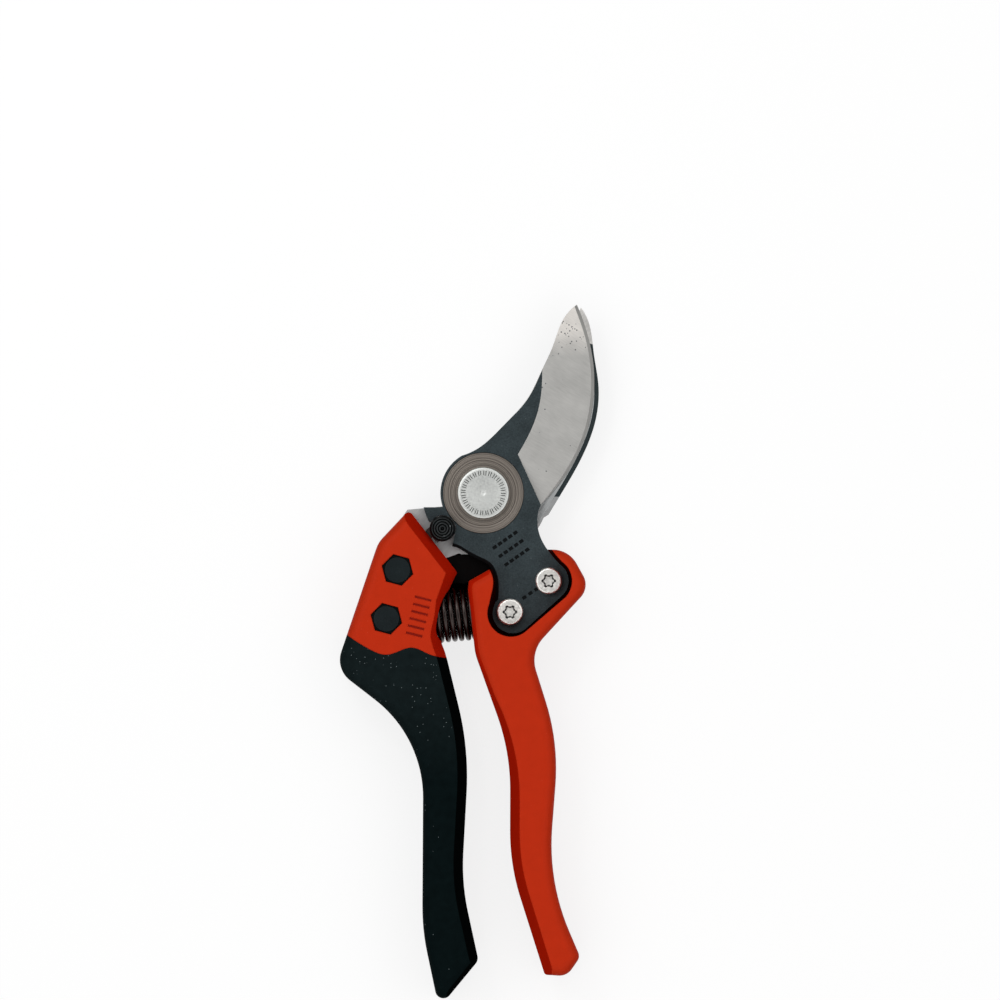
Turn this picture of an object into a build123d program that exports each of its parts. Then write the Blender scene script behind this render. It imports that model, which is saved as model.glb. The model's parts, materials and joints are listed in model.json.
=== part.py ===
from build123d import *

import os
from math import cos, hypot, radians, sin

# Bypass pruning shears, closed and unlocked, lying on their back.
# X is across the handles, Y runs from the handles to the blade tips, Z is up through the thickness.
# The origin is on the pivot axis, in the plane that the shears lie on. Millimetres throughout.

# ---- opening spring and handle thickness
spring_wire = 1.5            # diameter of the spring wire
spring_radius = 7.3          # outside radius of the coil
spring_turns = 10
spring_gap = 0.3             # clearance round the coil, and at its end in the right handle
spring_wall = 2.4            # handle left in front of and behind the coil
spring_tilt = 5.0            # degrees, rise of the coil's axis towards +X
spring_left = (-19.0, -33.9)  # centre of the coil's end in the left handle
spring_length = 19.0         # compressed length, between the floors of its two pockets
handle_thickness = 2 * (spring_radius + spring_gap + spring_wall)
mid_z = handle_thickness / 2

# ---- plates
counter_thickness = 3.6
blade_thickness = 3.2
blade_gap = 0.05             # running gap between the two plates
plate_bevel = 0.8            # polished bevel on the lower edge of the cutting blade
hook_bevel = 0.9             # depth of the bevel on the hook's outer edge
hook_bevel_width = 1.2
edge_land = 0.15             # steel left under the cutting edge
micro_width = 0.8            # narrow second bevel along the cutting edge
micro_height = 0.75          # thickness of the blade where the second bevel starts
blade_z = mid_z
blade_top = blade_z + blade_thickness
counter_top = blade_z - blade_gap
counter_z = counter_top - counter_thickness

# ---- pivot
shank_radius = 4.0
running_gap = 0.05           # radial, between the shank and what turns or sits on it
washer_radius = 10.9
washer_thickness = 0.8
washer_recess = 0.7          # depth of the washer's seat in the cutting blade
washer_gap = 0.1             # radial, between the washer and its seat
washer_lift = 0.02           # running gap under the washer
head_radius = 6.95
head_height = 2.7
head_chamfer = 0.5
disc_spring_radius = 8.2
disc_spring_thickness = 0.8
nut_across_flats = 13.0
nut_collar_radius = 5.9
nut_collar_height = 1.7
nut_stand_off = 0.5          # the bolt stands out of the nut by this, and ends in the plane Z = 0
lock_ring_radius = 5.2
lock_ring_thickness = 1.3
washer_z = blade_top - washer_recess + washer_lift
washer_top = washer_z + washer_thickness

# ---- catch, which slides along a line that leaves the pivot at catch_angle below -X
catch_angle = 41.0
claw_radius = 16.6           # outer edge of the claw, round the pivot
notch_inset = 1.95           # centre of the notch inside the claw's outer edge
notch_reach = claw_radius - notch_inset  # pivot to the centre of the notch and of the knob
notch_radius = 3.6
notch_ends = (-11.0, 152.0)  # degrees, where the notch's arc starts and ends
claw_angles = (193.4, 207.3)  # degrees, the claw's corner and its tip
claw_gap = 0.45              # nose to claw when the catch is drawn back
catch_travel = 2.8           # inwards, from drawn back to locked
bar_width = 4.8
bar_thickness = 3.0
bar_gap = 0.1                # round the bar in its channel
bar_length = 8.95            # nose to the outer end
nose_side = 2.6              # nose to the catch's centre line, on the claw's side
nose_inner_side = 0.0        # the other side of the nose, clear of the claw when the shears are open
nose_finger = 2.8            # length of the nose in front of the full width of the bar
post_length = 1.2            # post that carries the tongue, at the nose's end
tongue_width = 4.0
tongue_thickness = 1.0
tongue_overhang = 1.9        # tongue beyond the knob's centre
knob_radius = 3.5
knob_height = 2.6
knob_groove = 0.25
knob_rings = (0.3, 0.52, 0.74)  # shares of the knob's radius, where the grooves run
tongue_gap = 0.3             # tongue above the washer
rivet_radius = 1.1
rivet_length = 2.4
leaf_thickness = 0.35
leaf_rise = 1.2
leaf_length = 5.6
leaf_width = 3.6
leaf_gap = 0.06              # leaf to the bar
leaf_side_gap = 0.2          # leaf to the sides and ends of its pocket
face_angle = 37.8            # degrees below -X, square to the left handle's face towards the pivot
face_gap = 0.45              # catch to that face
nose_tip = claw_radius + claw_gap
face_reach = max(notch_reach + knob_radius, nose_tip + post_length) + face_gap
bar_end = nose_tip + bar_length
bar_z = counter_top + bar_gap
bar_top = bar_z + bar_thickness
tongue_z = washer_top + tongue_gap
tongue_top = tongue_z + tongue_thickness
bar_start = nose_tip + nose_finger
leaf_start = bar_start + leaf_side_gap

# ---- fasteners
screw_radius = 2.2
screw_gap = 0.1
tang_bolt_spots = [(-23.2, -20.8), (-26.2, -34.0)]
tang_head_across = 7.4
tang_head_height = 3.0
tang_head_sink = 0.5         # head below the front of the handle
tang_corner = 45.0           # degrees, direction of one corner of the hexagons
hex_gap = 0.12               # each side of a hexagon in its recess
back_nut_across = 7.4
back_nut_height = 3.0
back_nut_sink = 0.7          # nut above the back of the handle
thread_end = 0.3             # bolt's end short of the nut's outer face
blade_screw_spots = [(17.68, -23.76), (7.19, -32.16)]
torx_head_radius = 3.65
torx_head_height = 2.0
torx_radius = 2.0
torx_lobe_radius = 0.45
torx_depth = 1.3
torx_head_round = 0.75       # rounding of the screw heads

# ---- handles
edge_round = 3.0             # rounding of the front and back edges
flat_width = 2.6             # flats on the inner flanks, seen from the front
flat_depth = 6.5
blade_rim_gap = 0.9          # gap between the tang and the rim round it
left_rim_gaps = (1.5, 1.2, 0.6, 0.6, 0.7, 0.7, 0.7)  # on the tang's left side, from its lower end up
rim_shift = 0.5              # shift to the left of the recess's lower end
rim_steps = 9                # places that lay out the recess's right side
stem_wall = 4.0              # grip in front of and behind the core's stem

# ---- rubber stop between the handles
stop_centre = (-4.95, -26.2)
stop_radius = 9.5
stop_thickness = 6.0
stop_left = -12.6
stop_bottom = -24.1
stop_gap = 0.3
stop_fit = 0.02              # round the stop's side in its pocket
stop_top = blade_z - 0.4
stop_z = stop_top - stop_thickness

# ---- outlines, seen from the front
blade_tip = (25.3, 50.9)
cutting_edge = [(28.3, 42.4), (29.97, 32.2), (29.65, 24.4), (28.1, 16.9), (25.4, 10.2), (22.1, 4.6)]
blade_heel = (15.6, -3.1)
neck_right = [(14.6, -7.6), (15.6, -12.3), (17.7, -15.8)]
neck_end = (3.1, 4.4)        # lower end of the neck, from the upper screw's spot
hub_radius = 11.6            # plate left round the pivot, on the side of the left handle
hub_middle = 160.0           # degrees, a place between the ends of that round
tang_upper_radius = 5.4
tang_lower_centre = (7.95, -32.5)
tang_lower_radius = 5.45
tang_left = [(2.9, -31.6), (3.35, -27.2), (2.75, -21.6), (-0.9, -17.0)]
tang_corner_left = (-8.4, -14.4)
spine_start = (-5.8, 10.1)
spine = [(-0.9, 12.4), (5.6, 18.4), (12.1, 25.7), (16.1, 33.8), (18.6, 39.2), (21.2, 46.2)]
overrun = 3.0                # the grinding wheel's run past the edges
# The grind: its upper border, its heel corner, and the cutting edge, at heights along the blade.
grind_corner = (9.4, 10.5)
grind_lines = [(-6.0, -2.0, 14.0), (0.0, 3.6, 18.8), (10.5, 9.4, 25.55), (20.3, 14.2, 28.95),
               (30.5, 15.9, 29.95), (40.0, 15.8, 28.85), (52.5, 14.0, 24.7)]

hook_tip = (26.4, 50.1)
hook_outer = [(28.4, 46.4), (29.9, 37.5), (31.1, 29.5), (30.5, 20.3), (26.9, 10.2), (21.8, 1.0)]
hook_heel = (17.6, -5.9)
lower_radius = 17.6          # round lower end of the counter blade
lower_angles = (-22.5, -70.0, -112.0)  # degrees, start, middle and end of that round
counter_hub_radius = 11.0    # counter blade's round over the pivot
counter_hub_angles = (199.0, 120.0)
hook_inner = [(25.2, 45.6), (26.2, 38.0), (26.4, 31.0), (24.6, 21.5), (19.8, 11.8), (14.4, 5.8)]
hook_throat = (9.2, 6.4)
counter_shoulder = (-20.5, -4.5)
counter_upper = [(-25.2, -12.5), (-28.6, -21.0), (-31.2, -31.0)]
counter_end = [(-30.2, -37.6), (-26.4, -39.4), (-22.6, -38.0)]
counter_lower = [(-21.2, -33.0), (-20.5, -27.6), (-18.2, -23.6), (-14.5, -20.8), (-10.6, -17.8)]

# Corners of the handles, each with the radius of the arc that rounds it.
# The left handle's first two corners end its face towards the pivot, above and below the nearest point.
face_overrun = 4.0           # run of the flat past the face's upper end
flat_corner = 3.0            # rounding of the flat's line at the lower end of that face
face_ends = [(-8.7, 1.2), (12.7, 1.0)]
left_corners = [
    ((-14.0, -34.0), 9.0), ((-10.2, -43.2), 30.0), ((-3.85, -69.1), 80.0), ((-5.83, -105.4), 60.0),
    ((-1.3, -126.3), 2.5), ((-12.0, -139.3), 2.2), ((-16.5, -118.0), 60.0), ((-16.2, -66.0), 33.4),
    ((-40.0, -47.6), 7.0), ((-28.4, -13.4), 8.0),
]
right_corners = [
    ((1.2, -20.9), 0.6), ((15.0, -15.3), 2.0), ((23.1, -15.3), 7.3), ((28.8, -25.5), 5.0),
    ((12.7, -43.0), 9.0), ((20.4, -67.5), 60.0), ((17.5, -105.0), 60.0), ((26.2, -125.4), 2.4),
    ((22.6, -130.6), 4.0),
    ((16.6, -130.2), 1.0), ((7.2, -100.5), 60.0), ((7.3, -70.0), 60.0), ((-2.2, -43.5), 14.0),
    ((-4.15, -26.0), 1.2), ((-3.9, -23.8), 0.6),
]
parting = [(-46.0, -31.5), (-37.2, -38.1), (-31.0, -42.1), (-26.0, -43.7), (-19.2, -41.8), (-14.6, -43.6),
           (-9.9, -44.6), (0.0, -45.2)]
core_limit = 10.0            # clear of the core's upper end
stem_outline = [(-30.0, -36.0), (-27.0, -48.0), (-17.0, -60.0), (-13.2, -74.0), (-13.0, -106.0),
                (-11.6, -120.0), (-6.4, -120.0), (-8.8, -104.0), (-8.0, -70.0), (-13.0, -50.0),
                (-16.0, -36.0)]
# Lines that the flats on the inner flanks follow, to past the handle's foot. The right one starts clear of
# the handle, and the left one goes on upwards along the face towards the pivot.
left_flat_corners = [
    ((-14.0, -34.0), 9.0), ((-10.2, -43.2), 30.0), ((-3.85, -69.1), 80.0), ((-5.83, -105.4), 60.0),
    ((0.6, -134.0), 0.0)]
right_flat_corners = [
    ((-7.0, -38.0), 0.0), ((7.3, -70.0), 60.0), ((7.2, -100.5), 60.0), ((17.6, -134.0), 0.0)]


def polar(radius, angle):
    """Point at a distance and an angle, in degrees from +X, from the pivot axis."""
    return (radius * cos(radians(angle)), radius * sin(radians(angle)))


def slab(face, low, high):
    """Solid between two heights with the outline of a flat face."""
    return extrude(Pos(0, 0, low) * face, high - low, dir=(0, 0, 1))


def rod(spot, radius, low, high):
    """Upright round bar."""
    return slab(Pos(spot[0], spot[1], 0) * Circle(radius), low, high)


def hexagon(spot, across, low, high):
    """Upright hexagonal bar, turned as the hexagons on the handles are."""
    shape = RegularPolygon(across / 2, 6, major_radius=False, rotation=tang_corner)
    return slab(Pos(spot[0], spot[1], 0) * shape, low, high)


def rounded_outline(corners):
    """Closed outline of straight lines and arcs."""
    points = [point for point, radius in corners]
    radii = [radius for point, radius in corners]
    return make_face(FilletPolyline(*points, radius=radii, close=True))


def catch_plane(height):
    """Horizontal plane whose x axis runs outwards along the catch's path."""
    outward = (-cos(radians(catch_angle)), -sin(radians(catch_angle)), 0)
    return Plane(origin=(0, 0, height), x_dir=outward, z_dir=(0, 0, 1))


def catch_box(start, end, side_low, side_high, low, high):
    """Block given by its distances along and beside the catch's path."""
    outline = Polyline((start, side_low), (end, side_low), (end, side_high), (start, side_high), close=True)
    return extrude(catch_plane(low) * make_face(outline), high - low, dir=(0, 0, 1))


def notch_point(angle):
    """Point on the rim of the catch's notch in the cutting blade."""
    centre = polar(notch_reach, 180 + catch_angle)
    return (centre[0] + notch_radius * cos(radians(angle)), centre[1] + notch_radius * sin(radians(angle)))


# ---- the two plates

def tang_face(extra, shift):
    """Rounded end of the cutting blade's tang, larger by extra and with its lower end shifted to the left."""
    upper_end = Pos(*blade_screw_spots[0]) * Circle(tang_upper_radius + extra)
    lower_end = Pos(tang_lower_centre[0] - shift, tang_lower_centre[1]) * Circle(tang_lower_radius + extra)
    return make_hull(upper_end.edges() + lower_end.edges())


def head_face():
    """Outline of the cutting blade above its tang, with the claw and the catch's notch."""
    claw_corner = polar(claw_radius, claw_angles[0])
    claw_tip = polar(claw_radius, claw_angles[1])
    hub_end = (-((hub_radius**2 - claw_corner[1] ** 2) ** 0.5), claw_corner[1])
    edge = Spline(blade_tip, *cutting_edge, blade_heel)
    neck = neck_curve()
    across = Polyline(neck @ 1, blade_screw_spots[0], tang_lower_centre, tang_left[0])
    left = Spline(*tang_left, tang_corner_left)
    notch_start = notch_point(notch_ends[0])
    notch_end = notch_point(notch_ends[1])
    notch_side = Line(tang_corner_left, notch_start)
    notch = ThreePointArc(notch_start, notch_point(sum(notch_ends) / 2), notch_end)
    lip = Line(notch_end, claw_tip)
    claw_edge = ThreePointArc(claw_tip, polar(claw_radius, sum(claw_angles) / 2), claw_corner)
    claw_top = Line(claw_corner, hub_end)
    hub = ThreePointArc(hub_end, polar(hub_radius, hub_middle), spine_start)
    back = Spline(spine_start, *spine, blade_tip)
    return make_face([edge, neck, across, left, notch_side, notch, lip, claw_edge, claw_top, hub, back])


def grinding_cut():
    """What the grinding wheel takes off the front of the cutting blade."""
    rise = blade_z + micro_height
    fall = (micro_height - edge_land) / micro_width
    slices = []
    for y, inner, edge in grind_lines:
        slope = (blade_top - rise) / (edge - micro_width - inner)
        profile = Polyline(
            (inner - overrun, blade_top + overrun * slope),
            (edge - micro_width, rise),
            (edge + overrun, rise - fall * (micro_width + overrun)),
            (edge + overrun, blade_top + overrun),
            (inner - overrun, blade_top + overrun),
            close=True,
        )
        slices.append(Plane(origin=(0, y, 0), x_dir=(1, 0, 0), z_dir=(0, -1, 0)) * make_face(profile))
    run = (blade_heel[0] - grind_corner[0], blade_heel[1] - grind_corner[1])
    share = 1 + overrun / hypot(*run)
    low = (grind_corner[0] + share * run[0], grind_corner[1] + share * run[1])
    far = blade_tip[1] + overrun
    beyond_heel = make_face(Polyline(
        low, grind_corner, (grind_corner[0], far), (far, far), (far, low[1]), close=True))
    return loft(slices) & slab(beyond_heel, 0, handle_thickness)


def beside(curve, gaps):
    """Curve to the left of another one, with its distances from it at equal steps along it."""
    points = []
    for step, gap in enumerate(gaps):
        share = step / (len(gaps) - 1)
        points.append(curve @ share + Vector(0, 0, 1).cross(curve % share) * gap)
    return Spline(*points)


def neck_curve():
    """Right side of the cutting blade's neck, from the heel down to the tang."""
    upper = blade_screw_spots[0]
    return Spline(blade_heel, *neck_right, (upper[0] + neck_end[0], upper[1] + neck_end[1]))


def tang_room():
    """Outline of the recess round the cutting blade's tang, open towards the pivot."""
    right = beside(neck_curve(), [blade_rim_gap] * rim_steps)
    left = beside(Spline(*tang_left, tang_corner_left), left_rim_gaps)
    middle = Polyline(right @ 1, blade_screw_spots[0], tang_lower_centre, left @ 0)
    return make_face([right, middle, left, Line(left @ 1, right @ 0)]) + tang_face(blade_rim_gap, rim_shift)


def edge_through(solid, point, height):
    """Edge of a solid that passes through a point seen from the front, at a height."""
    return solid.edges().sort_by_distance((point[0], point[1], height))[0]


def blade_face():
    """Whole outline of the cutting blade."""
    return head_face() + tang_face(0, 0)


def cutting_blade():
    """Coated plate with a ground edge, a tang and the claw that the catch holds."""
    plate = slab(blade_face(), blade_z, blade_top)
    plate = chamfer(edge_through(plate, tang_left[-1], blade_top), plate_bevel)
    plate -= grinding_cut()
    plate -= rod((0, 0), shank_radius + running_gap, blade_z, blade_top)
    plate -= rod((0, 0), washer_radius + washer_gap, blade_top - washer_recess, blade_top)
    for spot in blade_screw_spots:
        plate -= rod(spot, screw_radius + screw_gap, blade_z, blade_top)
    return plate


def counter_face():
    """Outline of the hooked counter blade, with the tang that goes into the left handle."""
    outer = Spline(hook_tip, *hook_outer, hook_heel)
    bottom = ThreePointArc(*[polar(lower_radius, angle) for angle in lower_angles])
    heel = Line(hook_heel, bottom @ 0)
    to_tang = Line(bottom @ 1, counter_lower[-1])
    lower = Spline(*reversed(counter_lower))
    end = Spline(counter_lower[0], *reversed(counter_end), counter_upper[-1])
    upper = Spline(*reversed(counter_upper), counter_shoulder)
    hub_start = polar(counter_hub_radius, counter_hub_angles[0])
    shoulder = Line(counter_shoulder, hub_start)
    hub = ThreePointArc(hub_start, polar(counter_hub_radius, counter_hub_angles[1]), hook_throat)
    inner = Spline(hook_throat, *reversed(hook_inner), hook_tip)
    return make_face([outer, heel, bottom, to_tang, lower, end, upper, shoulder, hub, inner])


def counter_blade():
    """Hooked plate that holds the branch, bolted into the left handle."""
    outline = counter_face() - Pos(*stop_centre) * Circle(stop_radius + stop_gap / 2)
    plate = slab(outline, counter_z, counter_top)
    plate = chamfer(edge_through(plate, hook_outer[2], counter_top), hook_bevel, hook_bevel_width)
    plate -= rod((0, 0), shank_radius + running_gap, counter_z, counter_top)
    for spot in tang_bolt_spots:
        plate -= rod(spot, screw_radius + screw_gap, counter_z, counter_top)
    return plate


# ---- pivot

def pivot_bolt():
    """Bolt with a wide flat head; its shank ends in the plane that the shears lie on."""
    head = rod((0, 0), head_radius, washer_top, washer_top + head_height)
    head = chamfer(head.faces().sort_by(Axis.Z)[-1].edges(), head_chamfer)
    return head + rod((0, 0), shank_radius, 0, washer_top)


def pivot_washer():
    """Turned ring under the bolt's head, let into the cutting blade."""
    ring = rod((0, 0), washer_radius, washer_z, washer_top)
    return ring - rod((0, 0), shank_radius + running_gap, washer_z, washer_top)


def disc_spring():
    """Shallow cone that keeps the two plates together, seated on the counter blade."""
    outer_low = counter_z - disc_spring_thickness
    bore = shank_radius + running_gap
    dish = disc_spring_thickness / 2
    profile = Polyline((bore, outer_low), (disc_spring_radius, outer_low + dish),
                       (disc_spring_radius, counter_z), (bore, counter_z - dish), close=True)
    return revolve(Plane.XZ * make_face(profile), Axis.Z)


def pivot_nut():
    """Self-locking nut: a hexagon with a round collar that holds the lock ring."""
    nut_top = counter_z - disc_spring_thickness
    collar_top = nut_stand_off + nut_collar_height
    nut = hexagon((0, 0), nut_across_flats, collar_top, nut_top)
    nut += rod((0, 0), nut_collar_radius, nut_stand_off, collar_top)
    nut -= rod((0, 0), shank_radius + running_gap / 2, nut_stand_off, nut_top)
    return nut - rod((0, 0), lock_ring_radius, nut_stand_off, nut_stand_off + lock_ring_thickness)


def nut_lock_ring():
    """Nylon ring that grips the bolt's thread."""
    top = nut_stand_off + lock_ring_thickness
    ring = rod((0, 0), lock_ring_radius, nut_stand_off, top)
    return ring - rod((0, 0), shank_radius + running_gap / 2, nut_stand_off, top)


# ---- fasteners

def tang_bolts():
    """Two hexagon-headed bolts through the left handle and the counter blade's tang."""
    head_top = handle_thickness - tang_head_sink
    end = back_nut_sink + thread_end
    bolts = []
    for spot in tang_bolt_spots:
        head = hexagon(spot, tang_head_across, head_top - tang_head_height, head_top)
        bolts.append(head + rod(spot, screw_radius, end, head_top - tang_head_height))
    return Compound(bolts)


def blade_screws():
    """Two screws with six-lobed recesses through the cutting blade and the right handle."""
    end = back_nut_sink + thread_end
    top = blade_top + torx_head_height
    screws = []
    for spot in blade_screw_spots:
        head = rod(spot, torx_head_radius, blade_top, top)
        head = fillet(head.faces().sort_by(Axis.Z)[-1].edges(), torx_head_round)
        recess = rod(spot, torx_radius - torx_lobe_radius, top - torx_depth, top)
        for lobe in range(6):
            angle = radians(60 * lobe)
            reach = torx_radius - torx_lobe_radius
            centre = (spot[0] + reach * cos(angle), spot[1] + reach * sin(angle))
            recess += rod(centre, torx_lobe_radius, top - torx_depth, top)
        screws.append(head - recess + rod(spot, screw_radius, end, blade_top))
    return Compound(screws)


def back_nuts(spots):
    """Hexagon nuts let into the back of a handle."""
    top = back_nut_sink + back_nut_height
    nuts = []
    for spot in spots:
        nut = hexagon(spot, back_nut_across, back_nut_sink, top)
        nuts.append(nut - rod(spot, screw_radius + screw_gap / 4, back_nut_sink, top))
    return Compound(nuts)


def back_nut_room(spot, top):
    """Hole for a screw with a hexagonal recess for its nut at the back."""
    room = rod(spot, screw_radius + screw_gap, 0, top)
    return room + hexagon(spot, back_nut_across + 2 * hex_gap, 0, back_nut_sink + back_nut_height)


# ---- spring between the handles

def spring_plane(distance):
    """Plane square to the spring's axis, at a distance from its end in the left handle."""
    along = (cos(radians(spring_tilt)), sin(radians(spring_tilt)), 0)
    origin = (spring_left[0] + distance * along[0], spring_left[1] + distance * along[1], mid_z)
    return Plane(origin=origin, x_dir=(0, 0, 1), z_dir=along)


def spring_room(start, end):
    """Round pocket that the spring's end stands in, with room round the coil."""
    return extrude(spring_plane(start) * Circle(spring_radius + spring_gap), end - start)


def opening_spring():
    """Coil that pushes the handles apart."""
    coil_length = spring_length - spring_wire
    mean_radius = spring_radius - spring_wire / 2
    path = Helix(coil_length / spring_turns, coil_length, mean_radius)
    start = Plane(origin=path @ 0, z_dir=path % 0)
    coil = sweep(start * Circle(spring_wire / 2), path=path, is_frenet=True)
    return spring_plane(spring_wire / 2).location * coil


# ---- stop

def stop_face(extra):
    """Round-topped outline of the rubber stop, or of the room for it, larger by extra."""
    span = 2 * stop_radius
    tip = right_corners[0][0]
    low_tip = right_corners[-1][0]
    run = (tip[0] - low_tip[0], tip[1] - low_tip[1])
    length = hypot(*run)
    back_off = ((extra - stop_gap) * run[1] / length, (stop_gap - extra) * run[0] / length)
    low = (low_tip[0] - run[0] + back_off[0], low_tip[1] - run[1] + back_off[1])
    high = (tip[0] + run[0] + back_off[0], tip[1] + run[1] + back_off[1])
    above = make_face(Polyline(low, high, (high[0], high[1] + span), (low[0] - span, high[1] + span),
                               (low[0] - span, low[1]), close=True))
    left = stop_left - extra
    bottom = stop_bottom - extra
    window = make_face(Polyline((left, bottom), (left + span, bottom), (left + span, bottom + span),
                                (left, bottom + span), close=True))
    return (Pos(*stop_centre) * Circle(stop_radius + extra)) & window & above


def stop_buffer():
    """Rubber block in the left handle that the tip of the right handle closes against."""
    return slab(stop_face(0), stop_z, stop_top)


# ---- handles

def rounded_handle(corners):
    """Handle's outline as a solid with its front and back edges rounded."""
    solid = slab(rounded_outline(corners), 0, handle_thickness)
    return fillet(solid.faces().filter_by(Axis.Z).edges(), edge_round)


def flank_flats(corners, side):
    """Wedges that leave a flat along a handle's inner flank, front and back."""
    points = [point for point, radius in corners]
    radii = [radius for point, radius in corners[1:-1]]
    path = FilletPolyline(*points, radius=radii)
    inwards = Vector(path % 0).cross(Vector(0, 0, 1)) * side
    wedges = []
    for height, up in ((handle_thickness, 1), (0, -1)):
        plane = Plane(origin=Vector(path @ 0) + Vector(0, 0, height), x_dir=inwards, z_dir=path % 0)
        rise = up if plane.y_dir.Z > 0 else -up
        profile = make_face(Polyline(
            (flat_width, 0), (-2 * flat_width, -3 * flat_depth * rise), (-2 * flat_width, edge_round * rise),
            (flat_width, edge_round * rise), close=True))
        wedges.append(sweep(plane * profile, path=Pos(0, 0, height) * path))
    return wedges


def face_point(along):
    """Point on the left handle's face towards the pivot, counted down from the point nearest to the pivot."""
    nearest = polar(face_reach, 180 + face_angle)
    down = polar(along, 270 + face_angle)
    return (nearest[0] + down[0], nearest[1] + down[1])


def left_body():
    """Core and grip of the left handle together, before they are parted."""
    face = [(face_point(along), radius) for along, radius in face_ends]
    body = rounded_handle(face + left_corners)
    upper_end = face_point(face_ends[0][0] - face_overrun)
    lower_end = face_point(face_ends[1][0])
    for wedge in flank_flats([(upper_end, 0.0), (lower_end, flat_corner), *left_flat_corners], 1):
        body -= wedge
    return body


def core_side():
    """Room on the blade's side of the wavy line between core and grip."""
    wave = Spline(*parting)
    above = Polyline(parting[-1], (parting[-1][0], core_limit), (parting[0][0], core_limit), parting[0])
    return slab(make_face([wave, above]), 0, handle_thickness)


def stem():
    """Stem of the core, inside the grip."""
    outline = make_face(Polyline(*stem_outline, close=True))
    return slab(outline, stem_wall, handle_thickness - stem_wall)


def left_handle(body):
    """Red core of the left handle: holds the counter blade, the catch, the stop and the spring."""
    core = (body & core_side()) + (stem() & body)
    core -= slab(counter_face(), counter_z, counter_top)
    core -= slab(stop_face(stop_fit), stop_z, stop_top)
    core -= spring_room(0, spring_length)
    side = bar_width / 2 + bar_gap
    core -= catch_box(nose_tip - catch_travel, bar_end + bar_gap, -side, side, counter_top, bar_top + bar_gap)
    leaf_side = leaf_width / 2 + leaf_side_gap
    leaf_roof = bar_top + leaf_gap + leaf_rise + leaf_thickness
    leaf_end = leaf_start + leaf_length + leaf_side_gap
    core -= catch_box(leaf_start - leaf_side_gap, leaf_end, -leaf_side, leaf_side, bar_top, leaf_roof)
    for spot in tang_bolt_spots:
        core -= back_nut_room(spot, handle_thickness)
        floor = handle_thickness - tang_head_sink - tang_head_height
        core -= hexagon(spot, tang_head_across + 2 * hex_gap, floor, handle_thickness)
    return core


def soft_grip(body):
    """Soft grip moulded over the core's stem."""
    return body - core_side() - stem()


def right_handle():
    """Red one-piece handle with a recess for the cutting blade's tang."""
    body = rounded_handle(right_corners)
    for wedge in flank_flats(right_flat_corners, -1):
        body -= wedge
    body -= slab(tang_room(), blade_z, handle_thickness)
    body -= spring_room(0, spring_length + spring_gap)
    for spot in blade_screw_spots:
        body -= back_nut_room(spot, blade_z)
    return body


# ---- catch

def catch_bar():
    """Sliding bar with the nose that blocks the claw, and a raised tongue for the knob."""
    side = bar_width / 2
    post_end = nose_tip + post_length
    bar = catch_box(bar_start, bar_end, -side, side, bar_z, bar_top)
    finger = catch_box(nose_tip, bar_start, -side, nose_inner_side, bar_z, bar_top)
    post = catch_box(nose_tip, post_end, -nose_side, nose_inner_side, bar_z, tongue_top)
    tongue = catch_box(notch_reach - tongue_overhang, post_end, -tongue_width / 2, tongue_width / 2,
                       tongue_z, tongue_top)
    knob_spot = polar(notch_reach, 180 + catch_angle)
    return bar + finger + post + tongue - rod(knob_spot, rivet_radius, tongue_z, tongue_top)


def catch_knob():
    """Round thumb knob with ridges round its top."""
    spot = polar(notch_reach, 180 + catch_angle)
    top = tongue_top + knob_height
    knob = rod(spot, knob_radius, tongue_top, top)
    knob = fillet(knob.faces().sort_by(Axis.Z)[-1].edges(), knob_groove * 2)
    for ring in knob_rings:
        outer = rod(spot, knob_radius * ring + knob_groove / 2, top - knob_groove, top)
        knob -= outer - rod(spot, knob_radius * ring - knob_groove / 2, top - knob_groove, top)
    return knob - rod(spot, rivet_radius, tongue_top, tongue_z + rivet_length)


def catch_rivet():
    """Pin that holds the knob on the tongue."""
    return rod(polar(notch_reach, 180 + catch_angle), rivet_radius, tongue_z, tongue_z + rivet_length)


def catch_leaf():
    """Bowed leaf spring that presses on the bar, so that the catch stays where it is put."""
    end = leaf_start + leaf_length
    middle = (leaf_start + end) / 2
    low = bar_top + leaf_gap
    outward = catch_plane(0).x_dir
    plane = Plane(origin=(0, 0, 0), x_dir=outward, z_dir=outward.cross(Vector(0, 0, 1)))
    lower = ThreePointArc((leaf_start, low + leaf_rise), (middle, low), (end, low + leaf_rise))
    upper = ThreePointArc((leaf_start, low + leaf_rise + leaf_thickness), (middle, low + leaf_thickness),
                          (end, low + leaf_rise + leaf_thickness))
    sides = [Line(lower @ 0, upper @ 0), Line(lower @ 1, upper @ 1)]
    return extrude(plane * make_face([lower, upper, *sides]), leaf_width / 2, both=True)


def main():
    """Write every piece to its own file."""
    os.makedirs("parts", exist_ok=True)
    body = left_body()
    pieces = {
        "cutting_blade": cutting_blade(),
        "counter_blade": counter_blade(),
        "pivot_bolt": pivot_bolt(),
        "pivot_washer": pivot_washer(),
        "disc_spring": disc_spring(),
        "pivot_nut": pivot_nut(),
        "nut_lock_ring": nut_lock_ring(),
        "left_handle": left_handle(body),
        "soft_grip": soft_grip(body),
        "tang_bolts": tang_bolts(),
        "tang_nuts": back_nuts(tang_bolt_spots),
        "stop_buffer": stop_buffer(),
        "opening_spring": opening_spring(),
        "right_handle": right_handle(),
        "blade_screws": blade_screws(),
        "blade_nuts": back_nuts(blade_screw_spots),
        "catch_bar": catch_bar(),
        "catch_knob": catch_knob(),
        "catch_rivet": catch_rivet(),
        "catch_leaf": catch_leaf(),
    }
    for name, piece in pieces.items():
        export_step(piece, f"parts/{name}.step")


if __name__ == "__main__":
    main()
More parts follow.
